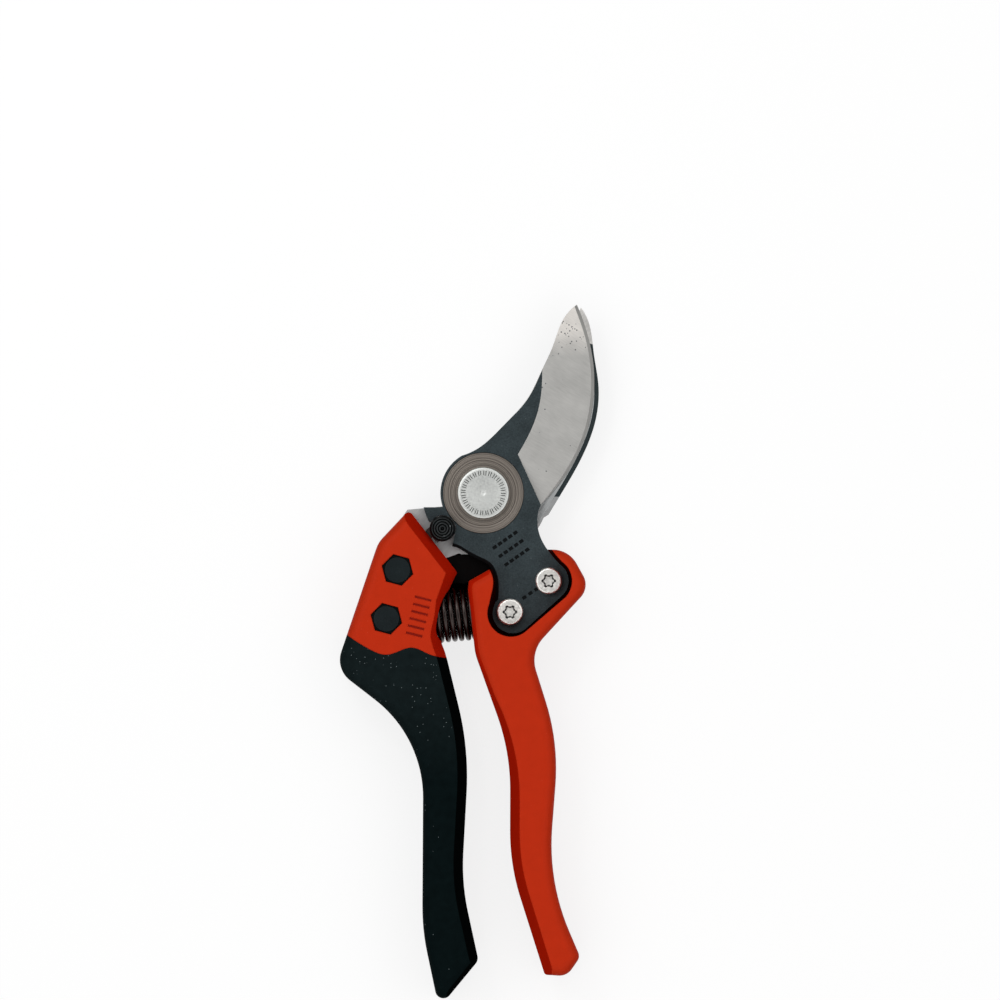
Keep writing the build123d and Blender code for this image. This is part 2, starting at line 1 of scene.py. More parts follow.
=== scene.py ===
"""Bypass pruning shears: the dressed model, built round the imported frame.

The shears lie on their back on the plane Z = 0. +Y points to the blade tips, +Z towards the bolt's head,
and the pivot axis is the origin. Sizes in the classes are in millimetres; MM turns them into metres.
"""

import json
import logging
from collections.abc import Callable, Mapping, Sequence
from dataclasses import dataclass, replace
from enum import Enum
from functools import cache
from math import cos, hypot, pi, radians, sin

import bmesh
import bpy
from mathutils import Matrix, Vector

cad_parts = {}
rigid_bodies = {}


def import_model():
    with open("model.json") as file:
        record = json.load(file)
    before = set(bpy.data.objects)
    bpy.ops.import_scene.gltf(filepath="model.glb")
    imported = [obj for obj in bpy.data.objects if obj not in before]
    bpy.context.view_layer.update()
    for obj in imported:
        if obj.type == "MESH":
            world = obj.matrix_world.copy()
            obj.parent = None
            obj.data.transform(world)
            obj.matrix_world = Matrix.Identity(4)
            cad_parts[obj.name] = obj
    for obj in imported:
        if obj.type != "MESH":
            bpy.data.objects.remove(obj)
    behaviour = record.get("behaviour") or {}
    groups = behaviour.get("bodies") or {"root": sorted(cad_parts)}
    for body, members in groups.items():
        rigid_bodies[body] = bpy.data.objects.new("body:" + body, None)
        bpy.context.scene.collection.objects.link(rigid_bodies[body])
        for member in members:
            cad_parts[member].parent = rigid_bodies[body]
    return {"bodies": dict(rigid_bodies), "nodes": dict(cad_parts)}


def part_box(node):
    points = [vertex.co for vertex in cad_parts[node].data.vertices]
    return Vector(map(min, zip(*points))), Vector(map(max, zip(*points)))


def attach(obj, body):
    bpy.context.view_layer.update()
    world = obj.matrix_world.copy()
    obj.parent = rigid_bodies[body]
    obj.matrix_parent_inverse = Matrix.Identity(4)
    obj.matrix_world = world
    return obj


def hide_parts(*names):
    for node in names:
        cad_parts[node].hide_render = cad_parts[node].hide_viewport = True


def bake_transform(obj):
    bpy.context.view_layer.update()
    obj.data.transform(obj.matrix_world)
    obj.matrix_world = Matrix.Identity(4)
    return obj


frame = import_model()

MM = 0.001
TOUCH = 0.01  # how far from a height a place may lie and still count as on it
LEVEL = 0.999  # the least upward part of a level face's normal
UPRIGHT = 0.1  # the most upward part of an upright face's normal
SMOOTH = 32.0  # edges below this angle, in degrees, are shaded smooth
LOG = logging.getLogger("shears")

Point2 = tuple[float, float]
Point3 = tuple[float, float, float]
Socket = bpy.types.NodeSocket
Feed = Socket | float | tuple[float, ...]
Mesh = bmesh.types.BMesh
Edge = bmesh.types.BMEdge
Face = bmesh.types.BMFace
Test = Callable[[Edge], bool]


class Body(Enum):
    """The three rigid bodies of the frame."""

    HANDLE = "handle_side"
    BLADE = "blade_side"
    CATCH = "catch"


class Effect(Enum):
    """The shader effects that finishes share. The first three are patterns, of which a finish has one."""

    GRAIN = "grain"
    TURNED = "turned"
    BRUSHED = "brushed"
    SPECKS = "specks"
    ROUNDED_EDGES = "rounded_edges"


# ---- shader building


def linear(colour: Point3) -> tuple[float, float, float, float]:
    """Turn a display colour into the renderer's linear one.

    Args:
        colour: Red, green and blue from 0 to 255, as a display shows them.

    Returns:
        Linear red, green, blue and an alpha of 1.
    """
    shares = [channel / 255 for channel in colour]
    parts = [share / 12.92 if share <= 0.04045 else ((share + 0.055) / 1.055) ** 2.4 for share in shares]
    return (*parts, 1.0)


class NodeSheet:
    """Adds and joins the nodes of one node tree."""

    def __init__(self, tree: bpy.types.NodeTree) -> None:
        """Start on an empty tree."""
        self.tree = tree
        tree.nodes.clear()

    def feed(self, socket: Socket, given: Feed) -> None:
        """Join a source to a socket, or set the socket's own value.

        Args:
            socket: The socket to feed.
            given: A socket, or a number, vector or colour.
        """
        if isinstance(given, Socket):
            self.tree.links.new(given, socket)
        else:
            socket.default_value = given

    def add(self, kind: str, feeds: Mapping[str | int, Feed] | None = None,
            **settings: object) -> bpy.types.Node:
        """Add a node.

        Args:
            kind: The node's class name.
            feeds: What goes into its sockets, by their names or numbers.
            **settings: Properties to set on the node.

        Returns:
            The new node.
        """
        node = self.tree.nodes.new(kind)
        for name, value in settings.items():
            setattr(node, name, value)
        for socket, given in (feeds or {}).items():
            self.feed(node.inputs[socket], given)
        return node

    def value(self, operation: str, first: Feed, second: Feed) -> Socket:
        """Work out one value from two with a maths node's operation."""
        return self.add("ShaderNodeMath", {0: first, 1: second}, operation=operation).outputs[0]

    def remap(self, source: Socket, old: Point2, new: Point2 = (0.0, 1.0)) -> Socket:
        """Move a value from its old range to a new one, held at the ends."""
        ends = {"From Min": old[0], "From Max": old[1], "To Min": new[0], "To Max": new[1]}
        return self.add("ShaderNodeMapRange", {"Value": source, **ends}, clamp=True).outputs["Result"]

    def noise(self, place: Socket, scale: Feed, detail: float) -> Socket:
        """Add a cloudy noise of some scale, with some finer layers of detail."""
        feeds = {"Vector": place, "Scale": scale, "Detail": detail}
        return self.add("ShaderNodeTexNoise", feeds).outputs["Fac"]

    def mix(self, share: Socket, first: Feed, second: Feed) -> Socket:
        """Mix two linear colours by the second one's share."""
        feeds = {"Factor": share, 6: first, 7: second}
        return self.add("ShaderNodeMix", feeds, data_type="RGBA").outputs[2]

    def ramp(self, source: Socket, stops: Sequence[Point2]) -> Socket:
        """Turn a value into a level through some stops.

        Args:
            source: The value's socket.
            stops: Place and level of each stop, in order.

        Returns:
            The level's socket.
        """
        node = self.add("ShaderNodeFloatCurve", {"Value": source})
        curve = node.mapping.curves[0]
        node.mapping.use_clip = False
        while len(curve.points) < len(stops):
            curve.points.new(0.5, 0.5)
        for point, stop in zip(curve.points, stops):
            point.location = stop
            point.handle_type = "VECTOR"
        node.mapping.update()
        return node.outputs[0]


def sheet_of(owner: bpy.types.Material | bpy.types.World) -> NodeSheet:
    """Give a material or a world an empty node sheet."""
    owner.use_nodes = True
    return NodeSheet(owner.node_tree)


class SurfaceGroups:
    """The node group of each effect, built when it is first asked for. Places are in millimetres."""

    def __init__(self) -> None:
        """Start with no group built."""
        self.built: dict[Effect, bpy.types.NodeTree] = {}

    def get(self, effect: Effect) -> bpy.types.NodeTree:
        """Give an effect's node group.

        Args:
            effect: The effect.

        Returns:
            Its group. A pattern takes Vector and Scale, and puts out Value from 0 to 1.
        """
        if effect not in self.built:
            makers = {Effect.GRAIN: self._grain, Effect.TURNED: self._turned, Effect.BRUSHED: self._brushed,
                      Effect.SPECKS: self._specks, Effect.ROUNDED_EDGES: self._rounded_edges}
            makers[effect]()
        return self.built[effect]

    def _start(self, effect: Effect, numbers: Mapping[str, float], outputs: Sequence[str] = ("Value",),
               vectors: Sequence[str] = ("Vector",)) -> tuple[NodeSheet, bpy.types.Node, bpy.types.Node]:
        """Begin a group with its sockets.

        Args:
            effect: The effect that the group makes.
            numbers: The numbers that it takes, with their usual values.
            outputs: Names of its results. One named Normal is a vector.
            vectors: Names of the vectors that it takes.

        Returns:
            The node sheet, the group's input node and its output node.
        """
        tree = bpy.data.node_groups.new(effect.value, "ShaderNodeTree")
        self.built[effect] = tree
        for name in vectors:
            tree.interface.new_socket(name, in_out="INPUT", socket_type="NodeSocketVector")
        for name, usual in numbers.items():
            socket = tree.interface.new_socket(name, in_out="INPUT", socket_type="NodeSocketFloat")
            socket.default_value = usual
        for name in outputs:
            kind = "NodeSocketVector" if name == "Normal" else "NodeSocketFloat"
            tree.interface.new_socket(name, in_out="OUTPUT", socket_type=kind)
        sheet = NodeSheet(tree)
        return sheet, sheet.add("NodeGroupInput"), sheet.add("NodeGroupOutput")

    def _grain(self) -> None:
        """Build the fine irregular texture of moulded and coated surfaces, with broad clouds in it."""
        sheet, entry, leave = self._start(Effect.GRAIN, {"Scale": 1.0})
        place, scale = entry.outputs["Vector"], entry.outputs["Scale"]
        fine = sheet.noise(place, sheet.value("MULTIPLY", scale, 1.0), 3.0)
        broad = sheet.noise(place, sheet.value("MULTIPLY", scale, 0.07), 2.0)
        total = sheet.value("ADD", sheet.value("MULTIPLY", fine, 0.6), sheet.value("MULTIPLY", broad, 0.4))
        sheet.feed(leave.inputs["Value"], sheet.remap(total, (0.3, 0.7)))

    def _turned(self) -> None:
        """Build the fine rings that a lathe leaves round the pattern's origin."""
        sheet, entry, leave = self._start(Effect.TURNED, {"Scale": 1.0})
        feeds = {0: entry.outputs["Vector"], 1: (1.0, 1.0, 0.0)}
        flat = sheet.add("ShaderNodeVectorMath", feeds, operation="MULTIPLY")
        reach = sheet.add("ShaderNodeVectorMath", {0: flat.outputs[0]}, operation="LENGTH")
        feeds = {"W": reach.outputs["Value"], "Scale": entry.outputs["Scale"], "Detail": 2.0}
        rings = sheet.add("ShaderNodeTexNoise", feeds, noise_dimensions="1D")
        sheet.feed(leave.inputs["Value"], sheet.remap(rings.outputs["Fac"], (0.3, 0.7)))

    def _brushed(self) -> None:
        """Build the streaks that grinding leaves along the pattern's Y axis, with broad clouds in them."""
        sheet, entry, leave = self._start(Effect.BRUSHED, {"Scale": 1.0})
        place, scale = entry.outputs["Vector"], entry.outputs["Scale"]
        stretched = sheet.add("ShaderNodeVectorMath", {0: place, 1: (1.0, 0.06, 0.4)}, operation="MULTIPLY")
        streaks = sheet.noise(stretched.outputs[0], scale, 3.0)
        clouds = sheet.noise(place, sheet.value("MULTIPLY", scale, 0.035), 3.0)
        total = sheet.value("ADD", sheet.value("MULTIPLY", streaks, 0.45),
                            sheet.value("MULTIPLY", clouds, 0.55))
        sheet.feed(leave.inputs["Value"], sheet.remap(total, (0.35, 0.65)))

    def _specks(self) -> None:
        """Build the mask of scattered dust or pits, denser in some places than in others."""
        numbers = {"Scale": 1.0, "Amount": 0.1, "Size": 0.16}
        sheet, entry, leave = self._start(Effect.SPECKS, numbers, ("Mask",))
        place, scale = entry.outputs["Vector"], entry.outputs["Scale"]
        cells = sheet.add("ShaderNodeTexVoronoi", {"Vector": place, "Scale": scale}, feature="F1")
        dense = sheet.noise(place, sheet.value("MULTIPLY", scale, 0.15), 2.0)
        near = sheet.value("LESS_THAN", cells.outputs["Distance"], entry.outputs["Size"])
        chance = sheet.add("ShaderNodeSeparateColor", {0: cells.outputs["Color"]})
        limit = sheet.value("MULTIPLY", entry.outputs["Amount"], sheet.remap(dense, (0.36, 0.62)))
        few = sheet.value("LESS_THAN", chance.outputs[0], limit)
        sheet.feed(leave.inputs["Mask"], sheet.value("MULTIPLY", near, few))

    def _rounded_edges(self) -> None:
        """Build the normal that softens edges within Radius, in metres, and the mask that finds them."""
        sheet, entry, leave = self._start(Effect.ROUNDED_EDGES, {"Radius": 0.0003}, ("Normal", "Mask"), ())
        soft = sheet.add("ShaderNodeBevel", {"Radius": entry.outputs["Radius"]}, samples=6)
        plain = sheet.add("ShaderNodeNewGeometry")
        feeds = {0: soft.outputs["Normal"], 1: plain.outputs["Normal"]}
        likeness = sheet.add("ShaderNodeVectorMath", feeds, operation="DOT_PRODUCT")
        sheet.feed(leave.inputs["Normal"], soft.outputs["Normal"])
        sheet.feed(leave.inputs["Mask"], sheet.remap(likeness.outputs["Value"], (0.995, 0.8)))


GROUPS = SurfaceGroups()


@dataclass(frozen=True)
class Finish:
    """One surface finish, with all that its material needs, its sizes in millimetres.

    Over tip_span, a stretch of the piece's Y, the colour and the specks change to those of the tip.
    """

    name: str
    colour: Point3
    roughness: float
    slot: str
    metallic: float = 0.0
    specular: float = 0.5
    pattern: Effect = Effect.GRAIN
    scale: float = 4.0
    turn: float = 0.0
    colour_spread: float = 0.08
    roughness_spread: float = 0.06
    relief: float = 0.01
    specks: float = 0.0
    speck_scale: float = 1.4
    speck_size: float = 0.16
    speck_colour: Point3 = (104, 106, 108)
    tip_colour: Point3 | None = None
    tip_span: Point2 = (0.0, 1.0)
    tip_specks: float = 0.0
    edge_radius: float = 0.05
    # Painted highlight: a lighter colour laid along the rounded edges that the edge mask finds.
    edge_highlight_colour: Point3 | None = None

    def _spread(self, sheet: NodeSheet, value: Socket, colour: Point3) -> Socket:
        """Let a colour vary with the pattern, a little to each side.

        Args:
            sheet: The material's node sheet.
            value: The pattern's socket.
            colour: The colour, as a display shows it.

        Returns:
            The varied colour's socket.
        """
        *base, alpha = linear(colour)
        low = (*(part * (1 - self.colour_spread) for part in base), alpha)
        high = (*(min(1.0, part * (1 + self.colour_spread)) for part in base), alpha)
        return sheet.mix(value, low, high)

    def _colour(self, sheet: NodeSheet, whole: Socket, place: Socket, value: Socket) -> Socket:
        """Give the base colour, with its variation, its change towards the tip, and its specks.

        Args:
            sheet: The material's node sheet.
            whole: The place on the piece, in metres.
            place: The place in the pattern, in millimetres.
            value: The pattern's socket.

        Returns:
            The colour's socket.
        """
        colour = self._spread(sheet, value, self.colour)
        amount: Feed = self.specks
        if self.tip_colour is not None:
            height = sheet.add("ShaderNodeSeparateXYZ", {0: whole}).outputs["Y"]
            share = sheet.remap(height, (self.tip_span[0] * MM, self.tip_span[1] * MM))
            colour = sheet.mix(share, colour, self._spread(sheet, value, self.tip_colour))
            amount = sheet.remap(share, (0.0, 1.0), (self.specks, self.tip_specks))
        if self.specks > 0:
            feeds = {"Vector": place, "Scale": self.speck_scale, "Amount": amount, "Size": self.speck_size}
            dust = sheet.add("ShaderNodeGroup", feeds, node_tree=GROUPS.get(Effect.SPECKS))
            colour = sheet.mix(dust.outputs["Mask"], colour, linear(self.speck_colour))
        return colour

    @cache
    def material(self) -> bpy.types.Material:
        """Build the material, once.

        Returns:
            The finish's material.
        """
        material = bpy.data.materials.new(self.name)
        sheet = sheet_of(material)
        whole = sheet.add("ShaderNodeTexCoord").outputs["Object"]
        feeds = {"Vector": whole, "Rotation": (0.0, 0.0, radians(self.turn)), "Scale": (MM, MM, MM)}
        place = sheet.add("ShaderNodeMapping", feeds, vector_type="TEXTURE").outputs["Vector"]
        feeds = {"Vector": place, "Scale": self.scale}
        pattern = sheet.add("ShaderNodeGroup", feeds, node_tree=GROUPS.get(self.pattern))
        value = pattern.outputs["Value"]
        feeds = {"Radius": self.edge_radius * MM}
        edges = sheet.add("ShaderNodeGroup", feeds, node_tree=GROUPS.get(Effect.ROUNDED_EDGES))
        colour = self._colour(sheet, whole, place, value)
        # Paint a highlight along the edges that the rounded-edge mask finds.
        if self.edge_highlight_colour is not None:
            colour = sheet.mix(edges.outputs["Mask"], colour, linear(self.edge_highlight_colour))
        rough = (self.roughness - self.roughness_spread, self.roughness + self.roughness_spread)
        bump = sheet.add("ShaderNodeBump", {"Strength": 1.0, "Distance": self.relief * MM, "Height": value,
                                            "Normal": edges.outputs["Normal"]})
        shader = sheet.add("ShaderNodeBsdfPrincipled", {
            "Base Color": colour, "Roughness": sheet.remap(value, (0.0, 1.0), rough),
            "Normal": bump.outputs["Normal"], "Metallic": self.metallic, "Specular IOR Level": self.specular})
        sheet.add("ShaderNodeOutputMaterial", {"Surface": shader.outputs["BSDF"]})
        return material


RED = Finish("red_polyamide", (185, 44, 14), 0.5, "red_plastic", specular=0.05, scale=5.0,
             colour_spread=0.06, relief=0.012, specks=0.012, speck_scale=2.4, speck_colour=(206, 84, 60),
             edge_radius=0.7)
RED_DEEP = Finish("red_pressed", (128, 20, 8), 0.6, "red_plastic", specular=0.08, scale=5.0,
                  colour_spread=0.04, edge_radius=0.1)
# Painted shade: a darker, duller red that stands for the shade on the handles' steep inner flanks.
RED_FLANK_SHADE = Finish("red_flank_painted_shade", (176, 27, 5), 0.7, "red_plastic", specular=0.0, scale=5.0,
                   colour_spread=0.06, relief=0.012, edge_radius=0.5)
# Painted shade: a dark red that stands for the shade deep in the right handle's tang recess.
RED_POCKET_SHADE = Finish("red_recess_painted_shade", (64, 9, 4), 0.7, "red_plastic", specular=0.04, scale=3.0,
                    colour_spread=0.3, edge_radius=0.1)
GRIP = Finish("grip_rubber", (8, 17, 18), 0.65, "grip_rubber", specular=0.012, scale=7.0, colour_spread=0.35,
              relief=0.02, specks=0.03, speck_colour=(104, 112, 114), edge_radius=0.5,
              tip_colour=(20, 28, 29), tip_span=(-78.0, -52.0), tip_specks=0.4)
# Painted shade: a blacker, duller rubber that stands for the shade on the grip's inner flank.
GRIP_FLANK_SHADE = Finish("grip_flank_painted_shade", (5, 7, 7), 0.8, "grip_rubber", specular=0.0, scale=7.0, colour_spread=0.3,
                    relief=0.02, edge_radius=0.4)
COATED = Finish("coated_steel", (49, 58, 61), 0.45, "coated_plate", specular=0.12, scale=2.6,
                colour_spread=0.4, relief=0.02, specks=0.12, speck_colour=(82, 89, 91), edge_radius=0.15)
# Painted highlight: a lighter coating on the upper strip of the plate's rim bevel.
COATED_RIM_HIGHLIGHT = Finish("coated_rim_painted_highlight", (84, 95, 100), 0.4, "coated_plate", specular=0.3, colour_spread=0.3)
# Dark coating for the pressed ticks, which also serves as painted shade: the black line on the lower strips
# of the rim bevel.
COATED_MARKS_AND_SHADE = Finish("coated_marks_and_painted_shade", (12, 15, 16), 0.5, "coated_plate", specular=0.06, scale=6.0)
GROUND = Finish("ground_steel", (184, 183, 180), 0.52, "coated_plate", metallic=1.0, pattern=Effect.BRUSHED,
                turn=58.0, colour_spread=0.12, roughness_spread=0.08, relief=0.004, specks=0.02,
                speck_scale=1.5, speck_size=0.3, edge_radius=0.08, tip_colour=(222, 218, 213),
                tip_span=(37.0, 44.0), tip_specks=0.75)
KEEN = Finish("keen_edge", (172, 171, 168), 0.5, "coated_plate", metallic=1.0, pattern=Effect.BRUSHED,
              turn=75.0, colour_spread=0.06, relief=0.002)
RUBBED = Finish("rubbed_steel", (180, 182, 182), 0.5, "hook_plate", metallic=1.0, pattern=Effect.BRUSHED,
                scale=3.0, turn=-40.0, colour_spread=0.16, roughness_spread=0.08, relief=0.006,
                edge_radius=0.1, tip_colour=(236, 234, 230), tip_span=(30.0, 40.0))
COATED_HOOK = Finish("coated_hook", (43, 52, 54), 0.45, "hook_plate", specular=0.14, colour_spread=0.25,
                     relief=0.02, edge_radius=0.2)
RING = Finish("turned_ring", (122, 115, 108), 0.45, "turned_ring", metallic=1.0, pattern=Effect.TURNED,
              scale=3.0, colour_spread=0.5, roughness_spread=0.12, relief=0.05, edge_radius=0.1)
BOLT = Finish("bolt_steel", (214, 216, 213), 0.45, "bolt_steel", metallic=1.0, scale=2.0, colour_spread=0.1,
              roughness_spread=0.12, relief=0.012, edge_radius=0.15)
BOLT_DARK = Finish("bolt_marks", (112, 114, 112), 0.55, "bolt_steel", metallic=1.0)
ZINC = Finish("bright_zinc", (244, 242, 237), 0.38, "zinc_steel", metallic=1.0, scale=1.5, colour_spread=0.1,
              roughness_spread=0.1, relief=0.09, edge_radius=0.12)
# Painted shade: a dark zinc that stands for the shade on the walls of the screws' recesses.
ZINC_RECESS_SHADE = Finish("zinc_recess_painted_shade", (34, 35, 37), 0.5, "zinc_steel", metallic=1.0, scale=2.5, colour_spread=0.1)
BLACKENED = Finish("black_oxide", (24, 32, 34), 0.45, "black_steel", specular=0.12, scale=5.0,
                   colour_spread=0.25, relief=0.014, edge_radius=0.1)
# Black oxide crown whose edges carry a painted highlight.
CROWN = Finish("black_crown_edge_highlight", (19, 27, 29), 0.45, "black_steel", specular=0.12, scale=3.0, colour_spread=0.3,
               relief=0.014, edge_radius=0.16, edge_highlight_colour=(50, 58, 60))
# Black oxide darkened further: the bolts' own black, with painted shade for the shade round their crowns.
BLACKENED_SHADE = Finish("black_oxide_painted_shade", (9, 12, 13), 0.5, "black_steel", specular=0.04, scale=5.0,
                        colour_spread=0.2, edge_radius=0.1)
WORN_BAR = Finish("worn_bar", (62, 57, 54), 0.5, "black_steel", specular=0.15, scale=2.5, colour_spread=0.35,
                  relief=0.02, edge_radius=0.15)
SPRING = Finish("spring_steel", (60, 54, 52), 0.22, "spring_steel", metallic=1.0, scale=3.0,
                colour_spread=0.3, roughness_spread=0.08, relief=0.006)
STOP = Finish("stop_rubber", (7, 6, 6), 0.7, "stop_rubber", specular=0.05, scale=6.0, colour_spread=0.1,
              relief=0.015, edge_radius=0.3)
KNOB = Finish("knob_plastic", (6, 9, 10), 0.3, "knob_plastic", specular=0.1, scale=1.2, colour_spread=0.3,
              roughness_spread=0.08, relief=0.04)
# Painted highlight: lighter crests on the knob's rings, with white glints scattered over them.
KNOB_CREST_HIGHLIGHT = Finish("knob_crest_painted_highlight", (24, 30, 31), 0.25, "knob_plastic", specular=0.3, scale=0.8,
                    colour_spread=0.7, roughness_spread=0.1, relief=0.06, specks=0.5, speck_scale=1.3,
                    speck_size=0.2, speck_colour=(196, 202, 202))
# Painted shade: near-black grooves between the knob's rings.
KNOB_GROOVE_SHADE = Finish("knob_groove_painted_shade", (3, 4, 4), 0.7, "knob_plastic", specular=0.02, scale=2.0)
NYLON = Finish("natural_nylon", (214, 212, 202), 0.5, "nylon", specular=0.3, colour_spread=0.04,
               edge_radius=0.15)


# ---- mesh building


def low_of(node: str) -> float:
    """Give the lowest height of a frame node, in millimetres."""
    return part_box(node)[0].z / MM


def top_of(node: str) -> float:
    """Give the highest height of a frame node, in millimetres."""
    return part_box(node)[1].z / MM


def middle_of(face: Face) -> Vector:
    """Give the middle of a face, in millimetres."""
    return face.calc_center_median() / MM


def bell(away: float) -> float:
    """Give a smooth share that falls from 1 at no distance to 0 at a distance of 1."""
    return (1 - away ** 2) ** 2


def lies_at(edge: Edge, height: float, slack: float = TOUCH) -> bool:
    """Say whether both ends of an edge lie at a height, in millimetres."""
    return all(abs(corner.co.z / MM - height) < slack for corner in edge.verts)


def sharp(angle: float) -> Test:
    """Give a test that chooses the convex edges sharper than an angle, in degrees."""
    return lambda edge: edge.is_convex and edge.calc_face_angle(0.0) > radians(angle)


def merged_copy(node: str) -> Mesh:
    """Copy a frame node's mesh, with its corners joined and its flat faces made whole.

    Args:
        node: The node's name.

    Returns:
        The joined copy.
    """
    mesh = bmesh.new()
    mesh.from_mesh(frame["nodes"][node].data)
    bmesh.ops.remove_doubles(mesh, verts=mesh.verts, dist=1e-6)
    bmesh.ops.dissolve_limit(mesh, angle_limit=radians(0.02), verts=mesh.verts, edges=mesh.edges)
    mesh.normal_update()
    return mesh


def turned(profile: Sequence[Point2], centre: Point2 = (0.0, 0.0), steps: int = 96) -> Mesh:
    """Spin an open profile about an upright axis.

    Args:
        profile: Radius and height of each corner, in millimetres.
        centre: Where the axis stands, in millimetres.
        steps: Number of steps in the full turn.

    Returns:
        A closed mesh.
    """
    mesh = bmesh.new()
    corners = [mesh.verts.new((radius * MM, 0.0, height * MM)) for radius, height in profile]
    lines = [mesh.edges.new(pair) for pair in zip(corners, corners[1:])]
    bmesh.ops.spin(mesh, geom=corners + lines, cent=(0, 0, 0), axis=(0, 0, 1), angle=2 * pi, steps=steps,
                   use_merge=True)
    bmesh.ops.remove_doubles(mesh, verts=mesh.verts, dist=1e-7)
    bmesh.ops.dissolve_degenerate(mesh, edges=mesh.edges, dist=1e-7)
    bmesh.ops.recalc_face_normals(mesh, faces=mesh.faces)
    bmesh.ops.translate(mesh, verts=mesh.verts, vec=(centre[0] * MM, centre[1] * MM, 0.0))
    return mesh


def soften(mesh: Mesh, width: float, chosen: Test, segments: int) -> None:
    """Bevel some edges of a mesh.

    Args:
        mesh: The mesh.
        width: The bevel's width, in millimetres.
        chosen: Says whether an edge is bevelled.
        segments: Number of steps across the bevel.
    """
    edges = [edge for edge in mesh.edges if len(edge.link_faces) == 2 and chosen(edge)]
    if edges:
        bmesh.ops.bevel(mesh, geom=edges, offset=width * MM, offset_type="OFFSET", segments=segments,
                        profile=0.5, affect="EDGES", clamp_overlap=True, material=-1)


def faces_at(mesh: Mesh, height: float) -> list[Face]:
    """Find the level faces that look up at a height.

    Args:
        mesh: The mesh.
        height: The height, in millimetres.

    Returns:
        The faces.
    """
    mesh.normal_update()
    level = [face for face in mesh.faces if face.normal.z > LEVEL]
    return [face for face in level if abs(middle_of(face).z - height) < TOUCH]


def split(mesh: Mesh, faces: Sequence[Face], place: Vector, across: Vector) -> None:
    """Cut some faces along a plane.

    Args:
        mesh: The mesh.
        faces: The faces to cut.
        place: A point on the plane, in millimetres.
        across: The plane's normal.
    """
    edges = dict.fromkeys(edge for face in faces for edge in face.edges)
    corners = dict.fromkeys(corner for face in faces for corner in face.verts)
    bmesh.ops.bisect_plane(mesh, geom=[*faces, *edges, *corners], dist=1e-7, plane_co=place * MM,
                           plane_no=across)


@dataclass(frozen=True)
class MarkRow:
    """A row of short straight marks pressed into a flat face, in millimetres and degrees from +X."""

    start: Point2
    turn: float
    count: int
    pitch: float
    length: float
    width: float
    depth: float
    border: float

    def press(self, mesh: Mesh, height: float, index: int) -> None:
        """Press the marks.

        Args:
            mesh: The mesh.
            height: Height of the face, in millimetres.
            index: Material index of the marks' floors.
        """
        along = Vector((cos(radians(self.turn)), sin(radians(self.turn)), 0))
        across = Vector((-along.y, along.x, 0))
        origin = Vector((*self.start, height))
        for side in (-0.5, 0.5):
            split(mesh, faces_at(mesh, height), origin + across * side * self.width, across)

        def in_row(low: float, high: float) -> list[Face]:
            """Find the faces of the row that lie between two places along it."""
            spots = [(face, middle_of(face) - origin) for face in faces_at(mesh, height)]
            return [face for face, spot in spots
                    if abs(spot.dot(across)) < self.width / 2 and low < spot.dot(along) < high]

        spans = [(number * self.pitch, number * self.pitch + self.length) for number in range(self.count)]
        for end in [end for span in spans for end in span]:
            split(mesh, in_row(float("-inf"), float("inf")), origin + along * end, along)
        for span in spans:
            marks = in_row(*span)
            if len(marks) > 1:
                marks = bmesh.ops.dissolve_faces(mesh, faces=marks, use_verts=True)["region"]
            bmesh.ops.inset_individual(mesh, faces=marks, thickness=self.border * MM, depth=-self.depth * MM)
            for face in marks:
                face.material_index = index


def finished(name: str, mesh: Mesh, finishes: Sequence[Finish], body: Body | None,
             node: str | None = None) -> bpy.types.Object:
    """Turn a mesh into a piece of the model.

    Args:
        name: The piece's name.
        mesh: The mesh, which is freed.
        finishes: A finish for each material index of the mesh.
        body: The body that it rides on, or None.
        node: The frame node that it stands for, or None.

    Returns:
        The new object.
    """
    mesh.normal_update()
    for face in mesh.faces:
        face.smooth = True
    for edge in mesh.edges:
        same = len({face.material_index for face in edge.link_faces}) == 1
        edge.smooth = same and edge.calc_face_angle(pi) < radians(SMOOTH)
    data = bpy.data.meshes.new(name)
    mesh.to_mesh(data)
    mesh.free()
    for finish in finishes:
        data.materials.append(finish.material())
    piece = bpy.data.objects.new(name, data)
    bpy.context.scene.collection.objects.link(piece)
    piece.modifiers.new("weighted_normals", "WEIGHTED_NORMAL").keep_sharp = True
    if body is not None:
        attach(piece, body.value)
    if node is not None:
        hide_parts(node)
    LOG.info("%s: %d faces, stands for %s", name, len(data.polygons), node or "nothing")
    return piece


@dataclass
class Copied:
    """A piece that keeps its frame node's shape and gets softened edges."""

    node: str
    finish: Finish
    body: Body
    width: float
    angle: float = 40.0

    def build(self) -> None:
        """Build the piece."""
        mesh = merged_copy(self.node)
        soften(mesh, self.width, sharp(self.angle), segments=2)
        finished(f"{self.node}_piece", mesh, [self.finish], self.body, self.node)


# ---- sub-assemblies


